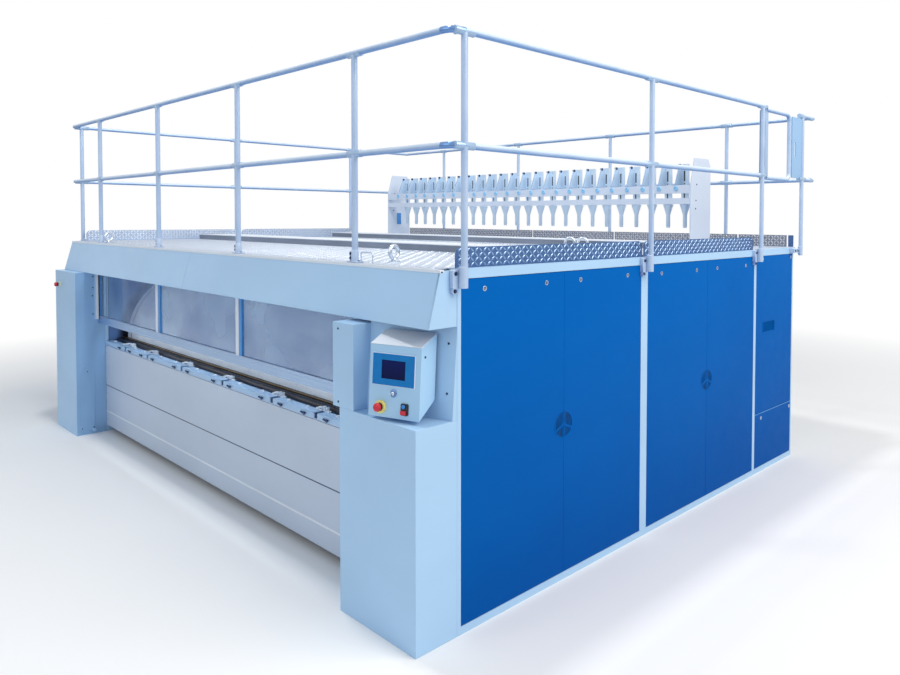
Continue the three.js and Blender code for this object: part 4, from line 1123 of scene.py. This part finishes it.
def front_and_side_rails():
    """Rails with glossy elbows at the front corners, posts, feet, fittings and brackets."""
    rails, elbows, clamps, screws, feet = (Solid() for _ in range(5))
    x, y0 = SIDE_RAIL_X, FRONT_RAIL_Y
    joint_x, turn_y = x - 0.073, y0 + ELBOW_REACH
    for z in RAIL_Z:
        rails.rod("x", (-joint_x, joint_x), (y0, z), TUBE)
        for _, side in SIDES:
            bend = [(side * joint_x, y0, z), (side * x, y0, z), (side * x, turn_y, z)]
            elbows.tube(bend, TUBE + 0.0003, 0.070, 24)
            end = REAR_RAIL_Y - TUBE if side < 0 else SIDE_POSTS_Y[-1] + TUBE
            rails.rod("y", (turn_y, end), (side * x, z), TUBE)
            lug_y = SIDE_POSTS_Y[0] - 0.024
            clamps.block(both(side, x - 0.050, x - 0.012), (lug_y, lug_y + 0.012), (z - 0.012, z + 0.012))
            screws.hex_bolt("y", lug_y, -1, (side * (x - 0.038), z), 0.006)
            for y in SIDE_POSTS_Y:
                cross_fitting(clamps, screws, side * x, y, z, "y", -side)
        for post_x in CROSS_POSTS_X:
            cross_fitting(clamps, screws, post_x, y0, z, "x", 1)
    for post_x in CROSS_POSTS_X:
        rails.rod("z", (ON_DECK, RAIL_Z[1]), (post_x, y0), TUBE)
        post_foot(feet, screws, post_x)
    for _, side in SIDES:
        for y in SIDE_POSTS_Y:
            rails.rod("z", (1.68, RAIL_Z[1]), (side * x, y), TUBE)
            side_bracket(feet, screws, side, y)
    hinge_y = SIDE_POSTS_Y[-1]
    hinge = Solid().block((x - 0.022, x - 0.017), (hinge_y - 0.010, hinge_y + 0.024),
                          (RAIL_Z[0] - 0.06, RAIL_Z[1] - 0.03))
    for z in (RAIL_Z[0] + 0.05, RAIL_Z[1] - 0.09):
        screws.hex_bolt("x", x - 0.022, -1, (hinge_y + 0.010, z), 0.007)
    replaced = ("guardrail_front", "guardrail_left", "guardrail_right")
    piece("guardrail_front_tubes", rails, rail_zinc, "frame", replaced, smooth=50)
    piece("guardrail_elbows", elbows, elbow_steel, smooth=50)
    piece("guardrail_clamps", clamps, clamp_zinc, smooth=40)
    piece("guardrail_feet", feet, rail_zinc, bevel=0.001)
    piece("guardrail_screws", screws, dark_steel)
    piece("gate_hinge_plate", hinge, clamp_zinc, bevel=0.0008)


def post_foot(feet, screws, x):
    """A front post's flange plate, narrow socket and clamping lug."""
    y, z = FRONT_RAIL_Y, ON_DECK
    feet.prism("z", rounded((x - 0.045, x + 0.045), (y - 0.024, y + 0.024), 0.006), (z, z + 0.008))
    feet.turned("z", (x, y), [(z + 0.007, 0.0197), (z + 0.062, 0.0193), (z + 0.066, 0.018)])
    feet.block((x - 0.044, x - 0.014), (y - 0.006, y + 0.006), (z + 0.012, z + 0.058))
    for up in (0.023, 0.046):
        screws.hex_bolt("y", y - 0.006, -1, (x - 0.033, z + up), 0.0065)
    for way in (-0.036, 0.036):
        screws.hex_bolt("z", z + 0.008, 1, (x + way, y), 0.005)


def side_bracket(feet, screws, side, y):
    """A side post's bracket on the cabinet's top beam: a folded plate, two bolts and a socket."""
    root, face, tab = 0.0004, 0.0254, 0.0194
    feet.prism("x", rounded((y - 0.052, y), (1.672, 1.763), 0.006), on_side(side, root, face))
    feet.prism("x", rounded((y - 0.047, y - 0.021), (1.646, 1.676), 0.008), on_side(side, root, tab))
    feet.block(both(side, CABINET_X + 0.0064, SIDE_RAIL_X - 0.012), (y - 0.012, y + 0.012), (1.680, 1.770))
    sleeve(feet, "z", (side * SIDE_RAIL_X, y, 1.7255), 0.103, (-side, 0), 0.0225, 0.006)
    for out, z in ((face, 1.744), (tab, 1.661)):
        screws.hex_bolt("x", side * (CABINET_X + out), side, (y - 0.034, z), 0.0075)


def rear_rails():
    """Rear rails with their posts and blocks, and the right corner post with its stub rails."""
    rails, clamps, screws, feet = (Solid() for _ in range(4))
    x0, y0 = SIDE_RAIL_X, REAR_RAIL_Y
    for z in RAIL_Z:
        rails.rod("x", (-x0 - TUBE, x0), (y0, z), TUBE)
        for x in CROSS_POSTS_X:
            cross_fitting(clamps, screws, x, y0, z, "x", -1)
        rails.rod("y", (CORNER_POST_Y, RAIL_END_Y - 0.006), (x0, z), TUBE)
        cap = [(RAIL_END_Y - 0.007, 0.0168), (RAIL_END_Y - 0.002, 0.0166), (RAIL_END_Y, 0.012)]
        rails.turned("y", (x0, z), cap, 24)
        cross_fitting(clamps, screws, x0, CORNER_POST_Y, z, "y", -1)
        sleeve(clamps, "y", (x0, y0, z), 0.06, (-1, -1 if z == RAIL_Z[1] else 0))
    post, block, middle = (1.70, RAIL_Z[1]), (1.722, 1.758), 1.74
    for x in CROSS_POSTS_X:
        rails.rod("z", post, (x, y0), TUBE)
        feet.block((x - 0.045, x + 0.045), (3.8904, y0), block)
        sleeve(feet, "z", (x, y0, middle), 0.06)
        for way in (-0.034, 0.034):
            screws.hex_bolt("y", y0, 1, (x + way, middle), 0.006)
    rails.rod("z", post, (x0, CORNER_POST_Y), TUBE)
    feet.block((CABINET_X + 0.0004, x0 - 0.004), (3.64, 3.794), block)
    sleeve(feet, "z", (x0, CORNER_POST_Y, middle), 0.07, (-1, 0))
    for y in (3.665, 3.71):
        screws.hex_bolt("x", x0 - 0.004, 1, (y, middle), 0.007)
    piece("guardrail_rear_tubes", rails, rail_zinc, "frame", ("guardrail_rear",), smooth=50)
    piece("guardrail_rear_clamps", clamps, clamp_zinc, smooth=40)
    piece("guardrail_rear_feet", feet, rail_zinc, bevel=0.001)
    piece("guardrail_rear_screws", screws, dark_steel)


def latch_plate():
    """The plate that the gate latches on, with an upright slot near its edge."""
    x = (SIDE_RAIL_X - 0.004, SIDE_RAIL_X + 0.004)
    low, high = RAIL_Z[0] + 0.005, RAIL_Z[1] - 0.025
    solid = Solid()
    solid.block(x, (3.55, 3.60), (low, high)).block(x, (3.625, CORNER_POST_Y), (low, high))
    solid.block(x, (3.60, 3.625), (low, 2.52)).block(x, (3.60, 3.625), (2.64, high))
    piece("gate_latch_plate", solid, sheet_blue)


def gate():
    """The gate's bent tube, its hinge bar and the hinge eyes round the pivot."""
    x, hinge_y, start = SIDE_RAIL_X, GATE["hinge_y"], GATE["hinge_y"] + 0.027
    end, top, bottom = GATE["end_y"], GATE["top"], GATE["bottom"]
    path = [(x, start, top), (x, end, top), (x, end, bottom), (x, start, bottom)]
    tube = Solid().tube(path, TUBE, GATE["bend"], 24)
    piece("gate_tube", tube, rail_zinc, "gate", ("gate",), smooth=50)
    bar_y = (hinge_y + 0.006, start + 0.03)
    bar = Solid().block((x - 0.004, x + 0.004), bar_y, (bottom - 0.015, top + 0.012))
    for z in (bottom + 0.06, (top + bottom) / 2, top - 0.06):
        bar.rod("z", (z - 0.03, z + 0.03), (x, bar_y[0]), 0.006, 20)
    piece("gate_hinge_bar", bar, clamp_zinc, "gate", bevel=0.0008)


# ------------------------------------------------------------------ lever rack

def lever_piece(name, solid, finish, replaces=(), bevel=0.0, smooth=35):
    piece(f"lever_{name}", solid, finish, "tension_levers", replaces, bevel, smooth)


def levers():
    """The row of levers: back plates with a slot, gussets, funnels and stems, black straps, and wedges of
    painted shadow under the lower bar, on one shaft.
    """
    plates, webs, flanges, tips, funnels, straps_and_shadows = (Solid() for _ in range(6))
    for x in LEVERS_X:
        back_plate(plates, x)
        gusset(webs, flanges, tips, x)
        funnel(funnels, x + 0.033)
        slot_x = (x + SLOT["x"][0], x + SLOT["x"][1])
        middle = sum(slot_x) / 2
        straps_and_shadows.block(slot_x, (3.246, 3.2515), SLOT["z"])
        straps_and_shadows.rod("y", (3.2443, 3.2455), (middle, 2.308), 0.0055, 16)
        straps_and_shadows.block((middle - 0.005, middle + 0.005), (3.2435, 3.2455), (2.095, 2.225))
        # Painted shadow: a dark wedge under the lower bar at each gusset.
        shadow_wedge = [(x - 0.012, 2.129), (x + 0.018, 2.129), (x + 0.003, 2.098)]
        straps_and_shadows.prism("y", shadow_wedge, (3.236, 3.2385))
    shaft = Solid().turned("x", (3.262, 2.255), mirror_ends([(2.134, 0.014), (2.136, 0.012)]))
    lever_piece("plates", plates, lever_zinc, ("tension_levers",))
    lever_piece("gussets", webs, gusset_zinc, bevel=0.0006)
    lever_piece("flanges", flanges, clamp_zinc)
    lever_piece("tips", tips, dark_steel, smooth=50)
    lever_piece("funnels", funnels, lever_zinc, smooth=50)
    lever_piece("straps_and_shadows", straps_and_shadows, black_plastic)
    lever_piece("shaft", shaft, bright_steel)


def back_plate(solid, x):
    """A plate with one upright slot."""
    slot_x, slot_z = (x + SLOT["x"][0], x + SLOT["x"][1]), SLOT["z"]
    for x_span in ((x - 0.003, slot_x[0]), (slot_x[1], x + 0.072)):
        solid.block(x_span, LEVER_BACK_Y, LEVER_Z)
    for z_span in ((LEVER_Z[0], slot_z[0]), (slot_z[1], LEVER_Z[1])):
        solid.block(slot_x, LEVER_BACK_Y, z_span)


def gusset(webs, flanges, tips, x):
    """An upright web whose front edge slants and carries a narrow flange with a round tip."""
    front, foot, top = LEVER_BACK_Y[0], 2.296, LEVER_Z[1]
    back, foot_y, top_y, head = front + 0.002, front - 0.105, front - 0.048, top - 0.014
    nose = arc((top_y + 0.012, head), 0.013, 6, math.pi / 2, math.pi)[:-1]
    webs.prism("x", [(foot_y, foot), (back, foot), (back, top), *nose], (x - 0.003, x + 0.003))
    flange = [(foot_y - 0.002, foot), (foot_y + 0.003, foot), (top_y + 0.005, head), (top_y, head)]
    flanges.prism("x", flange, (x - 0.0045, x + 0.0045))
    tips.rod("x", (x - 0.010, x + 0.010), (top_y + 0.012, top - 0.012), 0.0115, 18)


def funnel(solid, x):
    """A funnel that narrows to a neck and then to a stem."""
    solid.turned("z", (x, 3.25), [
        (2.130, 0.046), (2.126, 0.0458), (2.085, 0.0320), (2.050, 0.0215), (2.044, 0.0215),
        (2.042, 0.0180), (1.940, 0.0180), (1.938, 0.0165), (1.925, 0.0165),
    ])


def rack_details():
    """Bosses on the rack's upper bar, bolts on its end plates, a bluer patch of painted shade for a
    recessed slot on the left upright, and its feet
    """
    bosses, bolts, feet = Solid(), Solid(), Solid()
    shape = [(-0.001, 0.022), (0.006, 0.022), (0.008, 0.020), (0.008, 0.013), (0.004, 0.012)]
    for x in LEVERS_X:
        bosses.turned("y", (x + BOSS_SHIFT, 2.262), [(BAR_FRONT_Y - out, r) for out, r in shape], 24)
    piece("rack_bosses", bosses, boss_zinc, smooth=50)
    for _, side in SIDES:
        for y, z in ((3.21, 2.296), (3.20, 2.160), (3.195, 2.09)):
            bolts.button_head("x", side * RACK_END_X, side, (y, z), 0.0065, 0.004)
            bolts.button_head("x", side * (RACK_END_X - RACK_PLATE), -side, (y, z), 0.0065, 0.004)
        feet.block(both(side, 2.098, 2.139), (3.125, 3.435), (ON_DECK, DECK_Z + 0.008))
    piece("rack_bolts", bolts, dark_steel)
    # Painted shade: a flat bluer patch on the left upright's inner face, in place of a recessed slot.
    recess_shade_patch = Solid().prism("x", rounded((3.245, 3.31), (1.92, 2.06), 0.010), (-2.1385, -2.1375))
    piece("rack_recess_shade", recess_shade_patch, edge_blue)
    piece("rack_feet", feet, rack_paint, bevel=0.0015)


# ------------------------------------------------------------------ control box

def control_box():
    """The console: a folded body, a paler lid, and screws in its sides and in the wall behind."""
    width, face, depth = CONSOLE["width"], CONSOLE["face"], CONSOLE["depth"]
    bottom, back_z, lid = CONSOLE["bottom_rise"], face + CONSOLE["lid_rise"], 0.004
    body, cover, screws = (Solid(FACE) for _ in range(3))
    body.prism("x", [
        (0, 0), (depth - 0.004, bottom), (depth, bottom + 0.004), (depth, back_z - lid), (0, face - lid),
    ], (0, width))
    piece("console_body", body, console_paint, "frame", ("control_box",), 0.003)
    cover.prism("x", [
        (-0.0005, face - lid + 0.0002), (depth, back_z - lid + 0.0002), (depth, back_z), (-0.0005, face),
    ], (-0.0005, width + 0.0005))
    piece("console_lid", cover, lid_paint, bevel=0.0015)
    for x, way in ((width, 1), (0, -1)):
        screws.button_head("x", x, way, (0.0285, 0.298), 0.006, 0.0035)
    for z in (0.120, 0.357):
        screws.button_head("y", CONSOLE_WALL_DEPTH, -1, (0.357, z), 0.006, 0.004)
    piece("console_screws", screws, dark_steel)


def touch_panel():
    """A blue bezel with a sunk dark screen, inside a narrow pale rim."""
    x, z, front, back = (0.025, 0.268), (0.154, 0.301), -0.009, -0.0004
    view_x, view_z, edge = (0.0775, 0.2166), (0.184, 0.2725), 0.0025
    bezel, rim, depth = Solid(FACE), Solid(FACE), (front, back)
    bezel.block(x, depth, (view_z[1], z[1])).block(x, depth, (z[0], view_z[0]))
    bezel.block((x[0], view_x[0]), depth, view_z).block((view_x[1], x[1]), depth, view_z)
    piece("touch_bezel", bezel, bezel_blue, "frame", ("touch_panel",))
    sunk = (front + 0.002, back)
    piece("touch_screen", Solid(FACE).block(view_x, (sunk[0], -0.0006), view_z), screen)
    for x_span in ((x[0] - edge, x[0]), (x[1], x[1] + edge)):
        rim.block(x_span, sunk, (z[0] - edge, z[1] + edge))
    for z_span in ((z[0] - edge, z[0]), (z[1], z[1] + edge)):
        rim.block(x, sunk, z_span)
    piece("touch_rim", rim, lid_paint)


def operators():
    """Key switch and the two push buttons in their black housing."""
    housing, start, stop, barrel = (Solid(FACE) for _ in range(4))
    housing.prism("y", rounded((0.195, 0.237), (0.022, 0.077), 0.007), (-0.0062, 0.001))
    housing.ring("y", (-0.0085, -0.006), START_ON_FACE, (0.0103, 0.0124), 28)
    piece("twin_button_housing", housing, black_plastic, bevel=0.0008)
    profile = [(0.004, 0.0098), (-0.0105, 0.0098), (-0.0122, 0.0088), (-0.0129, 0.0065), (-0.013, 0.003)]
    start.turned("y", START_ON_FACE, profile)
    piece("start_button_cap", start, blue_plastic, "start_button", ("start_button",),
          smooth=50)
    x, z = STOP_ON_FACE
    stop.rod("y", (0.004, -0.007), (x, z), 0.0092)
    stop.prism("y", rounded((x - 0.0158, x + 0.0158), (z - 0.0095, z + 0.0095), 0.003), (-0.0066, -0.013))
    piece("stop_button_cap", stop, red_plastic, "stop_button", ("stop_button",), 0.0008)
    x, z = KEY_ON_FACE
    escutcheon = Solid(FACE).turned("y", (x, z), [
        (-0.0005, 0.0185), (-0.003, 0.0185), (-0.0045, 0.017), (-0.0045, 0.0120), (-0.001, 0.0108),
        (-0.0005, 0.0108),
    ], 36, closed=True)
    piece("key_escutcheon", escutcheon, elbow_steel, smooth=50)
    barrel.turned("y", (x, z), [(0.004, 0.0098), (-0.0085, 0.0098), (-0.010, 0.0085)])
    barrel.block((x - 0.0012, x + 0.0012), (-0.016, -0.009), (z - 0.005, z + 0.005))
    barrel.ring("x", (x - 0.0012, x + 0.0012), (-0.0195, z), (0.003, 0.0065), 24)
    piece("key_barrel", barrel, bright_steel, "key_switch", ("key_switch",), smooth=50)


def emergency_stops():
    on_console = FACE @ Matrix.Translation((ESTOP_ON_FACE[0], 0, ESTOP_ON_FACE[1]))
    emergency_stop("console_estop", on_console, "estop_console")
    on_column = Matrix.Translation((COLUMN_ESTOP[0], COLUMN_FRONT_Y, COLUMN_ESTOP[1]))
    emergency_stop("column_estop", on_column, "estop_column")


# ------------------------------------------------------------------ rear

def rear_details():
    """Locks, seams and vent slots on the rear covers."""
    low, high = span("rear_cover")
    face = high.y
    slots, locks, seams = Solid(), Solid(), Solid()
    for x in (-1.46, 0.0, 1.46):
        for i in range(9):
            z = low.z + 0.18 + i * 0.022
            outline = [(face - 0.0005, z), (face + 0.005, z + 0.002), (face - 0.0005, z + 0.014)]
            slots.prism("x", outline, (x - 0.16, x + 0.16))
    for x in (-0.73, 0.73):
        for z_span in ((low.z + 0.004, high.z - 0.004), (0.064, span("rear_panel")[1].z - 0.004)):
            seams.block((x - 0.0015, x + 0.0015), (face - 0.001, face + 0.0006), z_span)
    for x in (-2.1, -0.8, -0.66, 0.66, 0.8, 2.1):
        for z in (low.z + 0.05, high.z - 0.05, 0.12, 0.73):
            locks.ring("y", (face, face + 0.0022), (x, z), (0.0085, 0.0125), 24)
            locks.rod("y", (face - 0.0005, face + 0.0008), (x, z), 0.009, 20)
    piece("rear_cover_slots", slots, panel_paint)
    piece("rear_cover_seams", seams, black_plastic)
    piece("rear_cover_locks", locks, bright_steel)


# ------------------------------------------------------------------ scene

def stage():
    """A pale floor that fades to the white background away from the object."""
    mesh = bpy.data.meshes.new("floor")
    reach = 60
    corners = rectangle((-reach, reach), (-reach, reach))
    mesh.from_pydata([(x, y, 0) for x, y in corners], [], [(0, 1, 2, 3)])
    floor = bpy.data.objects.new("floor", mesh)
    bpy.context.scene.collection.objects.link(floor)
    finish = Finish("floor", Roughness=0.9)
    finish.colour(finish.noise(0.4, 4), srgb((240, 241, 243)), srgb((246, 247, 248)))
    distance = finish.add("VectorMath", {0: finish.place}, operation="LENGTH").outputs["Value"]
    seen = finish.add("LightPath").outputs["Is Camera Ray"]
    away = finish.math("MULTIPLY", finish.spread(distance, (5.0, 9.0)), seen)
    glow = finish.add("Emission").outputs[0]
    blend = finish.add("MixShader", {0: away, 1: finish.shader.outputs[0], 2: glow})
    finish.feed(finish.tree.nodes["Material Output"].inputs[0], blend.outputs[0])
    mesh.materials.append(finish.material)


def room():
    """Even light from all round, and white where the camera, a gloss or a glass looks out."""
    world = bpy.data.worlds.new("room")
    bpy.context.scene.world = world
    world.use_nodes = True
    nodes, links = world.node_tree.nodes, world.node_tree.links
    lit = nodes["Background"]
    lit.inputs["Color"].default_value = (0.84, 0.92, 1.0, 1)
    lit.inputs["Strength"].default_value = 0.53
    shown = nodes.new("ShaderNodeBackground")
    shown.inputs["Color"].default_value = (1, 1, 1, 1)
    rays = nodes.new("ShaderNodeLightPath").outputs
    seen = rays["Is Camera Ray"]
    for other in ("Is Glossy Ray", "Is Transmission Ray"):
        either = nodes.new("ShaderNodeMath")
        either.operation = "MAXIMUM"
        links.new(seen, either.inputs[0])
        links.new(rays[other], either.inputs[1])
        seen = either.outputs[0]
    blend = nodes.new("ShaderNodeMixShader")
    for socket, source in enumerate((seen, lit.outputs[0], shown.outputs[0])):
        links.new(source, blend.inputs[socket])
    links.new(blend.outputs[0], nodes["World Output"].inputs[0])


def lamp(name, place, target, size, power, colour=(1.0, 0.975, 0.94)):
    data = bpy.data.lights.new(name, "AREA")
    data.size = size
    data.energy = power
    data.color = colour
    made = bpy.data.objects.new(name, data)
    made.location = place
    made.rotation_euler = (Vector(target) - Vector(place)).to_track_quat("-Z", "Y").to_euler()
    bpy.context.scene.collection.objects.link(made)
    return made


def lights():
    """A large soft lamp high on the right, two weaker ones, and two narrow ones inside."""
    lamp("key", (9.0, 1.0, 8.0), (0, 0, 1.0), 7.0, 700, (1.0, 0.91, 0.80))
    lamp("fill", (1.5, -9.0, 5.0), (0, 0, 1.0), 6.0, 80)
    lamp("top", (0.5, -2.0, 9.0), (0, 0, 1.0), 0.8, 230)
    for name, place, target, power in (
        ("under_cover", (0, 0.10, 1.64), (0, 0.22, 0.6), 5),
        ("under_rail", (0, -0.047, 1.012), (0, 0.18, 0.93), 2.6),
    ):
        ends = (TO_FRAME @ Vector(place), TO_FRAME @ Vector(target))
        hidden = lamp(name, *ends, 4.0, power, (0.82, 0.93, 1.0))
        hidden.data.shape = "RECTANGLE"
        hidden.data.size_y = 0.04
        hidden.visible_camera = False
        hidden.visible_glossy = False


def camera():
    data = bpy.data.cameras.new("view")
    data.sensor_width = 36
    data.lens = CAMERA_LENS
    data.shift_x, data.shift_y = CAMERA_SHIFT
    data.clip_end = 200
    made = bpy.data.objects.new("view", data)
    made.location = TO_FRAME @ Vector(CAMERA_PLACE)
    made.rotation_euler = [math.radians(angle) for angle in CAMERA_TURN]
    bpy.context.scene.collection.objects.link(made)
    bpy.context.scene.camera = made


bpy.context.scene.view_settings.view_transform = "Standard"
camera()
room()
lights()
stage()
dress_kept_nodes()
doors()
column_details()
fascia()
front_panel_details()
feed_table_details()
guard()
for end in ("front", "rear"):
    roll(f"roll_{end}")
    chest(f"chest_{end}")
    vent_hood(f"vent_hood_{end}")
motor_wheel()
drive_chain()
deck_treads()
toe_boards()
deck_fittings()
front_and_side_rails()
rear_rails()
latch_plate()
gate()
levers()
rack_details()
control_box()
touch_panel()
operators()
emergency_stops()
rear_details()
